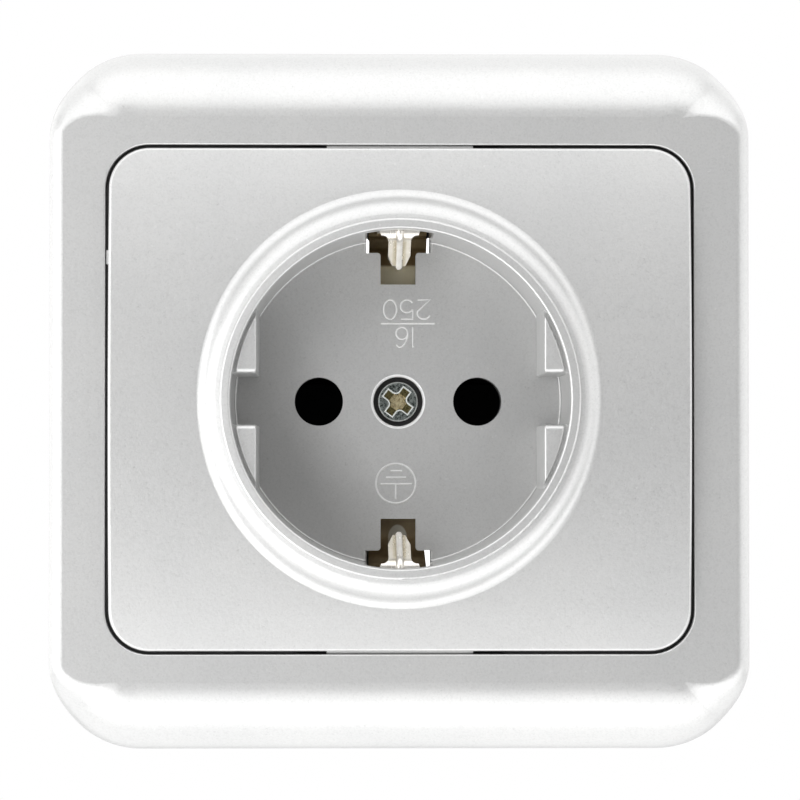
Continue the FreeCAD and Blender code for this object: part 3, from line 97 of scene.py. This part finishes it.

# The part of the contacts painted near black as painted shade.
FORK_ACROSS = (5.0, 14.0)
FORK_UP = 5.0

# The centre screw, its hole and its cross recess.
SCREW_FACE = front_of("centre_screw")
SCREW_HEAD = 2.4
SCREW_HOLE = 2.95
SCREW_TURN = 53.4
RECESS_REACH = 1.8
RECESS_HALF_WIDTH = 0.5
RECESS_ROUND = 0.65
RECESS_CORE = depth_at("centre_screw", 0.0, 0.0)

# The raised lines on the well's floor: half-widths, how deep their middles sit, and the earth sign.
STROKE = 0.115
BAR_STROKE = 1.12 * STROKE
SINK = 0.03
SIGN_CENTRE = (-0.28, -9.80)
SIGN_RADIUS = 2.38
SIGN_BARS = ((-0.90, 0.48, -8.30), (-1.45, 0.97, -9.09), (-2.10, 1.68, -9.88))
SIGN_FOOT = -11.70

# The bright lips beside the clip openings, painted near white as painted highlight on the openings' lit
# sides: the corners of each, as (x, z), and how they slope.
LIPS = {
    "upper_right_lip": [(3.37, CLIP_ARM), (3.69, CLIP_ARM), (3.69, 19.6), (3.42, 19.5)],
    "upper_left_lip": [(-3.80, CLIP_ARM), (-3.50, CLIP_ARM), (-3.48, 19.2), (-3.80, 19.6)],
    "lower_right_lip": [(3.15, -CLIP_ARM), (3.77, -CLIP_ARM), (3.77, -20.4), (3.42, -20.4)],
}
LIP_SLOPE = 0.42
LIP_LEAN = 0.3
LIP_DEPTH = 1.6

# The studio, in metres and levels of light, where 1 is white.
ROOM_LEVEL = 0.45
CARD_LEVEL = 0.23
CARD_LEFT, CARD_RIGHT, CARD_HALF_HEIGHT = -0.3, 0.84, 0.5
CARD_PLACE = -1.2
GROUND_HALF = 1.5
GROUND_LEVEL = -0.6

# The camera, found from the photograph: the lens in pixels, its place in mm and its turns in degrees.
LENS_PIXELS = 3482.0
PICTURE_PIXELS = 800.0
SENSOR = 36.0
CAMERA_PLACE = (-6.7, -413.8, -8.3)
CAMERA_TILT = 1.165
CAMERA_TURN = -0.9515

# The part of a noise texture's range that it mostly fills.
NOISE = (0.3, 0.7)


def grey(value):
    return (value, value, value)


def empty_material(name):
    """A node material with nothing but its output."""
    material = bpy.data.materials.new(name)
    material.use_nodes = True
    tree = material.node_tree
    tree.nodes.clear()
    return material, tree, tree.nodes.new("ShaderNodeOutputMaterial")


class Nodes:
    """Builds a node material round a Principled shader. Its places and lengths are in mm."""

    def __init__(self, name):
        self.material, self.tree, out = empty_material(name)
        self.shader = self.add("ShaderNodeBsdfPrincipled")
        self.link(self.shader.outputs["BSDF"], out.inputs["Surface"])
        self.place = self.add("ShaderNodeTexCoord").outputs["Object"]
        in_mm = self.add("ShaderNodeVectorMath", operation="SCALE")
        in_mm.inputs["Scale"].default_value = 1.0 / MM
        self.link(self.place, in_mm.inputs[0])
        split = self.add("ShaderNodeSeparateXYZ")
        self.link(in_mm.outputs["Vector"], split.inputs["Vector"])
        self.width, self.depth, self.height = split.outputs

    @cached_property
    def across(self):
        """Distance to the left or right of the plug well's axis."""
        return self.math("ABSOLUTE", self.width)

    @cached_property
    def up(self):
        """Distance above or below the plug well's axis."""
        return self.math("ABSOLUTE", self.height)

    @cached_property
    def away(self):
        """Distance from the plug well's axis in any direction."""
        return self.length(self.width, self.height)

    def add(self, kind, **settings):
        node = self.tree.nodes.new(kind)
        for key, value in settings.items():
            setattr(node, key, value)
        return node

    def link(self, output, target):
        if isinstance(target, str):
            target = self.shader.inputs[target]
        self.tree.links.new(output, target)

    def metallic(self, value):
        self.shader.inputs["Metallic"].default_value = value

    def bump(self, height, distance):
        node = self.add("ShaderNodeBump")
        node.inputs["Distance"].default_value = distance * MM
        self.link(height, node.inputs["Height"])
        self.link(node.outputs["Normal"], "Normal")

    def stretched(self, scale):
        node = self.add("ShaderNodeMapping")
        node.inputs["Scale"].default_value = scale
        self.link(self.place, node.inputs["Vector"])
        return node.outputs["Vector"]

    def noise(self, scale, detail=2.0, rough=0.5, vector=None):
        """Cloudy noise with this many waves to a metre."""
        node = self.add("ShaderNodeTexNoise")
        node.inputs["Scale"].default_value = scale
        node.inputs["Detail"].default_value = detail
        node.inputs["Roughness"].default_value = rough
        self.link(vector or self.place, node.inputs["Vector"])
        return node.outputs["Fac"]

    def cells(self, scale):
        node = self.add("ShaderNodeTexVoronoi")
        node.inputs["Scale"].default_value = scale
        self.link(self.place, node.inputs["Vector"])
        return node.outputs["Color"]

    def ramp(self, value, stops):
        node = self.add("ShaderNodeValToRGB")
        elements = node.color_ramp.elements
        while len(elements) < len(stops):
            elements.new(0.5)
        for element, (at, colour) in zip(elements, stops):
            element.position = at
            element.color = (*colour, 1.0)
        self.link(value, node.inputs["Fac"])
        return node.outputs["Color"]

    def shades(self, value, dark, pale, limits=NOISE):
        """From a dark to a pale colour between two limits of a value."""
        return self.ramp(value, list(zip(limits, (dark, pale))))

    def span(self, value, limits, results):
        """A value carried over from one pair of limits to another."""
        node = self.add("ShaderNodeMapRange")
        for key, number in zip(("From Min", "From Max", "To Min", "To Max"), limits + results):
            node.inputs[key].default_value = number
        self.link(value, node.inputs["Value"])
        return node.outputs["Result"]

    def beyond(self, value, low, high):
        """0 below one limit and 1 above the other."""
        return self.span(value, (low, high), (0.0, 1.0))

    def blend(self, part, without, within):
        """One number outside a part of the surface and another inside it."""
        return self.span(part, (0.0, 1.0), (without, within))

    def mix(self, factor, first, second, kind="MIX"):
        node = self.add("ShaderNodeMix", data_type="RGBA", blend_type=kind)
        sockets = (node.inputs["Factor"], node.inputs[6], node.inputs[7])
        for socket, value in zip(sockets, (factor, first, second)):
            if isinstance(value, float):
                socket.default_value = value
            elif isinstance(value, tuple):
                socket.default_value = (*value, 1.0)
            else:
                self.link(value, socket)
        return node.outputs[2]

    def tint(self, first, second):
        """One colour darkened by another."""
        return self.mix(1.0, first, second, "MULTIPLY")

    def math(self, kind, *values):
        node = self.add("ShaderNodeMath", operation=kind)
        for socket, value in zip(node.inputs, values):
            if isinstance(value, float):
                socket.default_value = value
            else:
                self.link(value, socket)
        return node.outputs[0]

    def over(self, value, limit):
        return self.math("GREATER_THAN", value, limit)

    def under(self, value, limit):
        return self.math("LESS_THAN", value, limit)

    def product(self, first, *others):
        """The product of several factors, or all of several conditions together."""
        for other in others:
            first = self.math("MULTIPLY", first, other)
        return first

    def total(self, first, second):
        return self.math("ADD", first, second)

    def length(self, first, second):
        return self.math("SQRT", self.total(self.product(first, first), self.product(second, second)))


def painted_gap_shade(m):
    """Painted shade deep in the gap round the plate and round the screw's head."""
    near_gap = m.product(m.under(m.across, GAP_ACROSS), m.under(m.up, GAP_UP), m.over(m.away, GAP_AWAY))
    gap = m.product(near_gap, m.beyond(m.depth, FRAME_FRONT + 0.4, FRAME_FRONT + 1.0))
    near_hole = m.under(m.away, SCREW_HOLE + 0.15)
    hole = m.product(near_hole, m.beyond(m.depth, WELL_FLOOR + 0.35, WELL_FLOOR + 0.95))
    return m.math("MAXIMUM", gap, hole)


def silver_plastic():
    """Satin plastic full of fine metallic flakes. The well's floor has painted shade towards its lower left
    and its right, a painted highlight round the screw hole's mouth, and the gaps have painted shade.
    """
    m = Nodes("silver_plastic")
    fine = m.noise(2600, 3.0, 0.65)
    tone = m.shades(m.noise(60), (0.615, 0.617, 0.615), (0.645, 0.645, 0.64))
    grain = m.ramp(m.cells(5200),
                   [(0.0, grey(0.93)), (0.5, grey(1.0)), (0.93, grey(1.02)), (1.0, grey(1.12))])
    specks = m.ramp(fine, [(0.27, grey(0.86)), (0.36, grey(1.0)), (0.75, grey(1.0)), (0.82, grey(1.08))])
    own_colour = m.tint(m.tint(tone, grain), specks)
    floor = m.over(m.depth, WELL_FLOOR - 0.65)
    # Painted shade: the well's floor is darkened towards its lower left and towards its right.
    lower_left = m.total(m.product(m.width, -0.9), m.product(m.height, -0.45))
    darker = m.product(m.span(lower_left, (6.0, 14.0), (1.0, 0.73)),
                     m.span(m.width, (8.0, 15.0), (1.0, 0.86)))
    # Painted highlight: a near-white, less metallic ring round the screw hole's mouth.
    ring = m.product(m.over(m.away, SCREW_HOLE - 0.05), m.under(m.away, SCREW_HOLE + 0.32))
    mouth = m.product(floor, ring, m.under(m.depth, WELL_FLOOR + 0.35))
    shaded = m.mix(floor, own_colour, m.tint(own_colour, darker))
    with_painted_highlight = m.mix(mouth, shaded, grey(0.95))
    # Painted shade: the gap round the plate and the screw hole are painted nearly black.
    m.link(m.mix(painted_gap_shade(m), with_painted_highlight, grey(0.12)), "Base Color")
    m.link(m.span(fine, NOISE, (0.36, 0.42)), "Roughness")
    m.link(m.blend(mouth, 0.7, 0.2), "Metallic")
    m.bump(fine, 0.012)
    return m.material


def moulded(name, colour):
    """Matt plastic with a fine grain."""
    m = Nodes(name)
    fine = m.noise(900, 4.0, 0.6)
    dark = tuple(0.8 * c for c in colour)
    pale = tuple(1.25 * c for c in colour)
    m.link(m.shades(m.noise(80, 3.0), dark, pale), "Base Color")
    m.link(m.span(fine, NOISE, (0.44, 0.56)), "Roughness")
    m.bump(fine, 0.03)
    return m.material


def sheet_metal(name, colour, rough):
    """Drawn metal with faint streaks and duller spots."""
    m = Nodes(name)
    streaks = (0.25, 0.75)
    drawn = m.noise(1.0, 3.0, 0.6, m.stretched((900, 900, 90)))
    darker = tuple(0.76 * c for c in colour)
    tone = m.shades(m.noise(180, 4.0, 0.6), darker, colour, (0.3, 0.62))
    m.link(m.tint(tone, m.shades(drawn, grey(0.9), grey(1.04), streaks)), "Base Color")
    m.link(m.span(drawn, streaks, (rough - 0.06, rough + 0.08)), "Roughness")
    m.metallic(1.0)
    m.bump(drawn, 0.008)
    return m.material


def strap_metal():
    """Nickelled brass: pale on the worn fingers, with painted highlight and shade across their ribs; khaki
    on the flat upper strap, with painted shadow in its corners; darker on the lower strap as painted shade,
    with a painted reflection of the finger.
    """
    m = Nodes("nickel_brass")
    worn = m.beyond(m.depth, WELL_FLOOR - 3.15, WELL_FLOOR + 0.85)
    corner = m.product(m.beyond(m.up, *STRAP_CORNER), worn)
    lower = m.under(m.height, 0.0)
    cloud = m.noise(420, 4.0, 0.65)
    drawn = m.noise(1.0, 3.0, 0.6, m.stretched((2600, 300, 300)))
    # Painted highlight and shade across the finger's rib: white in the middle, a darker band, then pale
    # towards its edges.
    ridge = m.ramp(m.beyond(m.across, 0.0, FINGER_HALF_WIDTH),
                   [(0.20, grey(1.0)), (0.30, (0.66, 0.60, 0.46)), (0.48, (0.78, 0.73, 0.60)),
                    (0.62, (1.0, 0.97, 0.90))])
    cream = m.shades(cloud, (0.84, 0.80, 0.73), (0.99, 0.97, 0.93), (0.3, 0.65))
    bright = m.tint(cream, m.mix(m.beyond(m.up, *FINGER_BEND), ridge, grey(1.0)))
    khaki = m.shades(cloud, (0.96, 0.87, 0.62), (1.0, 0.93, 0.70))
    # Painted shadow: dark brown in the upper strap's corners.
    painted_shadow = m.shades(cloud, (0.20, 0.14, 0.06), (0.34, 0.25, 0.13))
    # Painted shade: the lower strap is darker brown than the upper strap's khaki.
    brown = m.shades(cloud, (0.30, 0.22, 0.12), (0.44, 0.34, 0.20))
    # Painted reflection: a pale oval on the lower strap where the finger would be mirrored.
    above_oval = m.math("SUBTRACT", m.height, FINGER_REFLECTION_HEIGHT)
    oval = m.length(m.math("DIVIDE", m.width, FINGER_REFLECTION_RADII[0]),
                    m.math("DIVIDE", above_oval, FINGER_REFLECTION_RADII[1]))
    finger_reflection = m.span(oval, (0.9, 1.0), (1.0, 0.0))
    flat = m.mix(lower, m.mix(corner, khaki, painted_shadow), m.mix(finger_reflection, brown, (0.80, 0.76, 0.66)))
    m.link(m.mix(worn, bright, flat), "Base Color")
    m.link(m.total(m.span(drawn, NOISE, (0.16, 0.3)), m.product(worn, 0.25)), "Roughness")
    m.link(m.blend(worn, 0.6, 0.1), "Metallic")
    m.bump(drawn, 0.01)
    return m.material


def recess_edge(m):
    """Distance outwards from the edge of the centre screw's cross recess."""
    sides = []
    for degrees in (SCREW_TURN, SCREW_TURN + 90.0):
        turn = math.radians(degrees)
        along = m.total(m.product(m.width, math.cos(turn)), m.product(m.height, math.sin(turn)))
        sides.append(m.math("ABSOLUTE", along))
    long = m.math("MAXIMUM", *sides)
    short = m.math("MINIMUM", *sides)
    bend = RECESS_HALF_WIDTH + RECESS_ROUND
    to_bend = m.length(m.math("SUBTRACT", bend, m.math("MINIMUM", long, bend)),
                       m.math("SUBTRACT", bend, short))
    beside = m.math("SUBTRACT", RECESS_ROUND, to_bend)
    past_end = m.math("SUBTRACT", long, RECESS_REACH)
    return m.math("MAXIMUM", beside, past_end)


def screw_metal():
    """Zinc-plated steel with a painted highlight along its head's rim and its recess's edge. The centre
    screw's recess is olive and brass-coloured.
    """
    m = Nodes("screw_steel")
    edge = recess_edge(m)
    centre = m.product(m.under(m.away, SCREW_HEAD + 0.1), m.under(m.depth, RECESS_CORE + 0.35))
    # Painted highlight: near-white, less metallic lines along the recess's edge and round the head's rim.
    lip = m.product(m.over(edge, -0.03), m.under(edge, 0.14), centre)
    rim = m.product(m.over(m.away, SCREW_HEAD - 0.14), m.under(m.away, SCREW_HEAD + 0.05),
                    m.under(m.depth, SCREW_FACE + 0.2))
    shine = m.math("MAXIMUM", lip, rim)
    sunk = m.product(m.beyond(m.depth, SCREW_FACE + 0.15, SCREW_FACE + 0.35), centre)
    core = m.product(m.beyond(m.depth, RECESS_CORE - 0.45, RECESS_CORE - 0.25), centre)
    cloud = m.noise(3000, 4.0, 0.7)
    steel = m.shades(cloud, (0.05, 0.065, 0.06), (0.42, 0.46, 0.44), (0.36, 0.66))
    olive = m.shades(cloud, (0.13, 0.11, 0.045), (0.24, 0.21, 0.10))
    brass = m.shades(cloud, (0.62, 0.50, 0.27), (0.95, 0.84, 0.55))
    worn = m.mix(core, m.mix(sunk, steel, olive), brass)
    m.link(m.mix(shine, worn, (0.92, 0.95, 0.92)), "Base Color")
    m.link(m.span(cloud, NOISE, (0.22, 0.36)), "Roughness")
    m.link(m.blend(shine, 1.0, 0.15), "Metallic")
    m.bump(cloud, 0.01)
    return m.material


def contact_brass():
    """Brass, painted almost black as painted shade where the forks grip a plug's pins."""
    m = Nodes("brass")
    inner, outer = FORK_ACROSS
    fork = m.product(m.over(m.across, inner), m.under(m.across, outer), m.under(m.up, FORK_UP))
    cloud = m.noise(300, 4.0, 0.6)
    own_colour = m.shades(cloud, (0.42, 0.31, 0.12), (0.54, 0.42, 0.18))
    # Painted shade: the forks are near black.
    black = m.shades(cloud, (0.012, 0.012, 0.014), (0.030, 0.029, 0.031))
    m.link(m.mix(fork, own_colour, black), "Base Color")
    m.link(m.span(cloud, NOISE, (0.45, 0.6)), "Roughness")
    m.metallic(0.9)
    m.bump(cloud, 0.01)
    return m.material


def bright_plastic(name, tones, roughness, metallic):
    """The silver plastic painted paler, as painted highlight where it catches more light: raised lines and
    lips.
    """
    m = Nodes(name)
    fine = m.noise(2600, 3.0)
    m.link(m.shades(fine, *map(grey, tones)), "Base Color")
    m.link(m.span(fine, NOISE, roughness), "Roughness")
    m.metallic(metallic)
    return m.material


def clothe(materials):
    """Gives each CAD node the material of its slot."""
    for entry in frame["record"]["subparts"]:
        mesh = frame["nodes"][entry["node"]].data
        mesh.materials.clear()
        mesh.materials.append(materials[entry["material_slot"]])
        for polygon in mesh.polygons:
            polygon.material_index = 0


def add_object(name, data):
    thing = bpy.data.objects.new(name, data)
    bpy.context.scene.collection.objects.link(thing)
    return thing


def add_piece(name, mesh):
    """A visible piece of the object, fixed like the CAD nodes."""
    piece = add_object(name, mesh)
    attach(piece, "root")


def arc(centre, radii, start, end, steps):
    """Points on part of an ellipse, between two angles in degrees."""
    turns = [math.radians(start + (end - start) * i / steps) for i in range(steps + 1)]
    return [(centre[0] + radii[0] * math.cos(t), centre[1] + radii[1] * math.sin(t)) for t in turns]


# Upright digits in a cell 1 high: each one's width, and its lines as (across, up).
DIGITS = {
    "0": (0.62, [arc((0.31, 0.5), (0.31, 0.5), 90, 450, 36)]),
    "1": (0.14, [[(0.02, 0.97), (0.07, 1.0), (0.07, 0.0)]]),
    "2": (0.66, [arc((0.33, 0.70), (0.31, 0.30), 158, -22, 18) + [(0.02, 0.0), (0.64, 0.0)]]),
    "5": (0.64, [[(0.60, 1.0), (0.04, 1.0), (0.02, 0.53)] + arc((0.31, 0.33), (0.31, 0.33), 142, -150, 26)]),
    "6": (0.60, [arc((0.31, 0.30), (0.30, 0.30), 176, -184, 30),
                 arc((0.46, 0.30), (0.45, 0.70), 176, 98, 12) + arc((0.40, 0.80), (0.2, 0.2), 88, 20, 5)]),
}


def raised_lines(name, lines, half_width, material):
    """Half-round lines raised from the well's floor, each a list of (x, z) in mm."""
    curve = bpy.data.curves.new(name, "CURVE")
    curve.dimensions = "3D"
    curve.bevel_depth = half_width * MM
    curve.bevel_resolution = 3
    curve.use_fill_caps = True
    curve.materials.append(material)
    for points in lines:
        spline = curve.splines.new("POLY")
        spline.points.add(len(points) - 1)
        for point, (x, z) in zip(spline.points, points):
            point.co = (x * MM, (WELL_FLOOR + SINK) * MM, z * MM, 1.0)
    pattern = add_object(name, curve)
    bpy.context.view_layer.update()
    mesh = bpy.data.meshes.new_from_object(pattern.evaluated_get(bpy.context.evaluated_depsgraph_get()))
    bpy.data.objects.remove(pattern)
    for polygon in mesh.polygons:
        polygon.use_smooth = True
    add_piece(name, mesh)


def upside_down(number, left, right, low, high, space):
    """The lines of a number turned by half a turn, which fills a given width and height."""
    widths = [DIGITS[digit][0] for digit in number]
    scale = (right - left) / (sum(widths) + space * (len(number) - 1))
    lines = []
    start = 0.0
    for digit, width in zip(number, widths):
        for points in DIGITS[digit][1]:
            lines.append([(right - (start + u) * scale, high - v * (high - low)) for u, v in points])
        start += width + space
    return lines


def make_markings(material):
    """The rating numbers over and under their bar, and the earth sign in its ring."""
    over_bar = upside_down("250", left=-1.72, right=3.92, low=9.91, high=12.23, space=0.17)
    under_bar = upside_down("16", left=-0.20, right=1.92, low=6.53, high=8.93, space=0.19)
    raised_lines("rating_numbers", over_bar + under_bar, STROKE, material)
    raised_lines("rating_bar", [[(-2.07, 9.38), (4.39, 9.38)]], BAR_STROKE, material)
    ring = arc(SIGN_CENTRE, (SIGN_RADIUS, SIGN_RADIUS), 0, 360, 64)
    bars = [[(left, z), (right, z)] for left, right, z in SIGN_BARS]
    stem = [(SIGN_CENTRE[0], SIGN_BARS[-1][2]), (SIGN_CENTRE[0], SIGN_FOOT)]
    raised_lines("earth_sign", [ring, *bars, stem], STROKE, material)


def make_lip(name, corners, material):
    """A narrow lip on a side of a clip opening, which rises outwards and leans back into the wall."""
    count = len(corners)
    points = [(x * MM, (WELL_FLOOR - LIP_SLOPE * (abs(z) - CLIP_ARM)) * MM, z * MM) for x, z in corners]
    back = (WELL_FLOOR + LIP_DEPTH) * MM
    points += [((x + math.copysign(LIP_LEAN, x)) * MM, back, z * MM) for x, z in corners]
    front_face = tuple(range(count))
    back_face = tuple(range(2 * count - 1, count - 1, -1))
    sides = [(i, (i + 1) % count, (i + 1) % count + count, i + count) for i in range(count)]
    mesh = bpy.data.meshes.new(name)
    mesh.from_pydata(points, [], [front_face, back_face] + sides)
    work = bmesh.new()
    work.from_mesh(mesh)
    bmesh.ops.recalc_face_normals(work, faces=work.faces)
    work.to_mesh(mesh)
    work.free()
    mesh.materials.append(material)
    add_piece(name, mesh)


def flat_piece(name, corners, material):
    """A flat piece of the studio."""
    mesh = bpy.data.meshes.new(name)
    mesh.from_pydata(corners, [], [tuple(range(len(corners)))])
    mesh.materials.append(material)
    add_object(name, mesh)


def make_floor():
    """A plain pale floor, below the picture."""
    material, tree, out = empty_material("pale_floor")
    shade = tree.nodes.new("ShaderNodeBsdfDiffuse")
    shade.inputs["Color"].default_value = (*grey(0.9), 1.0)
    tree.links.new(shade.outputs[0], out.inputs["Surface"])
    near, far = -GROUND_HALF, GROUND_HALF
    around = ((near, near), (far, near), (far, far), (near, far))
    flat_piece("studio_floor", [(x, y, GROUND_LEVEL) for x, y in around], material)


def make_front_card():
    """A grey card behind the camera: the dim part of the room that the flat faces mirror."""
    material, tree, out = empty_material("front_card")
    glow = tree.nodes.new("ShaderNodeEmission")
    clear = tree.nodes.new("ShaderNodeBsdfTransparent")
    mix = tree.nodes.new("ShaderNodeMixShader")
    path = tree.nodes.new("ShaderNodeLightPath")
    glow.inputs["Strength"].default_value = CARD_LEVEL
    tree.links.new(path.outputs["Is Camera Ray"], mix.inputs["Fac"])
    tree.links.new(glow.outputs[0], mix.inputs[1])
    tree.links.new(clear.outputs[0], mix.inputs[2])
    tree.links.new(mix.outputs[0], out.inputs["Surface"])
    low, high = -CARD_HALF_HEIGHT, CARD_HALF_HEIGHT
    around = ((CARD_LEFT, low), (CARD_RIGHT, low), (CARD_RIGHT, high), (CARD_LEFT, high))
    flat_piece("front_card", [(x, CARD_PLACE, z) for x, z in around], material)


def make_world():
    """White as seen directly, mirrored or through glass, and a soft light otherwise."""
    world = bpy.data.worlds.new("studio")
    bpy.context.scene.world = world
    world.use_nodes = True
    tree = world.node_tree
    tree.nodes.clear()
    out = tree.nodes.new("ShaderNodeOutputWorld")
    mix = tree.nodes.new("ShaderNodeMixShader")
    path = tree.nodes.new("ShaderNodeLightPath").outputs
    seen = path["Is Camera Ray"]
    for kind in ("Is Glossy Ray", "Is Transmission Ray"):
        either = tree.nodes.new("ShaderNodeMath")
        either.operation = "MAXIMUM"
        tree.links.new(seen, either.inputs[0])
        tree.links.new(path[kind], either.inputs[1])
        seen = either.outputs[0]
    tree.links.new(seen, mix.inputs["Fac"])
    for socket, level in ((mix.inputs[1], ROOM_LEVEL), (mix.inputs[2], 1.0)):
        light = tree.nodes.new("ShaderNodeBackground")
        light.inputs["Color"].default_value = (*grey(1.0), 1.0)
        light.inputs["Strength"].default_value = level
        tree.links.new(light.outputs[0], socket)
    tree.links.new(mix.outputs[0], out.inputs["Surface"])


def softbox(name, turn, rise, away, width, height, level):
    """A lamp aimed at the object: turned to the right and raised by degrees, where level 1 is white."""
    turn = math.radians(turn)
    rise = math.radians(rise)
    lamp = bpy.data.lights.new(name, "AREA")
    lamp.shape = "RECTANGLE"
    lamp.size = width
    lamp.size_y = height
    lamp.energy = level * math.pi * width * height
    thing = add_object(name, lamp)
    thing.location = away * Vector((math.sin(turn) * math.cos(rise),
                                    -math.cos(turn) * math.cos(rise), math.sin(rise)))
    thing.rotation_euler = (-thing.location).to_track_quat("-Z", "Y").to_euler()
    thing.visible_camera = False


def make_lamps():
    """A tent of soft lamps round the object, strongest on the left, and weaker ones behind it."""
    softbox("lamp_above", turn=0, rise=58, away=0.9, width=1.6, height=1.1, level=0.9)
    softbox("lamp_below", turn=8, rise=-53, away=0.5, width=1.2, height=0.56, level=1.12)
    softbox("lamp_left", turn=-50, rise=-14, away=0.9, width=1.0, height=1.2, level=1.6)
    softbox("lamp_right", turn=74, rise=0, away=0.9, width=0.9, height=1.4, level=0.34)
    softbox("lamp_above_behind", turn=0, rise=120, away=0.9, width=1.6, height=1.1, level=0.45)
    softbox("lamp_below_behind", turn=0, rise=-115, away=0.5, width=1.2, height=0.52, level=0.55)
    softbox("lamp_left_behind", turn=-115, rise=0, away=0.9, width=1.1, height=1.4, level=0.6)
    softbox("lamp_right_behind", turn=120, rise=0, away=0.9, width=1.1, height=1.4, level=0.4)


def make_camera():
    """The photograph's view: almost square on, 0.4 m in front of the plug well."""
    lens = bpy.data.cameras.new("camera")
    lens.sensor_width = SENSOR
    lens.lens = LENS_PIXELS / PICTURE_PIXELS * SENSOR
    lens.clip_start = 0.01
    camera = add_object("camera", lens)
    camera.location = Vector(CAMERA_PLACE) * MM
    camera.rotation_euler = (math.radians(90 + CAMERA_TILT), 0.0, math.radians(CAMERA_TURN))
    bpy.context.scene.camera = camera


bpy.context.scene.view_settings.view_transform = "Standard"
clothe({
    "silver_plastic": silver_plastic(),
    "black_plastic": moulded("black_plastic", (0.022, 0.022, 0.023)),
    "grey_plastic": moulded("grey_plastic", (0.05, 0.05, 0.052)),
    "zinc_steel": sheet_metal("zinc_steel", (0.62, 0.62, 0.6), 0.34),
    "screw_steel": screw_metal(),
    "clamp_steel": sheet_metal("clamp_steel", (0.55, 0.54, 0.5), 0.32),
    "spring_steel": sheet_metal("spring_steel", (0.4, 0.4, 0.4), 0.3),
    "nickel_brass": strap_metal(),
    "brass": contact_brass(),
})
# The raised lines are painted paler than the silver plastic, as painted highlight.
make_markings(bright_plastic("raised_lines", tones=(0.80, 0.90), roughness=(0.35, 0.45), metallic=0.2))
# The lips are painted near white and mirror-like, as painted highlight.
with_painted_highlight = bright_plastic("painted_highlight_lips", tones=(0.95, 1.0), roughness=(0.2, 0.3), metallic=0.9)
for name, corners in LIPS.items():
    make_lip(name, corners, with_painted_highlight)
make_floor()
make_front_card()
make_world()
make_lamps()
make_camera()
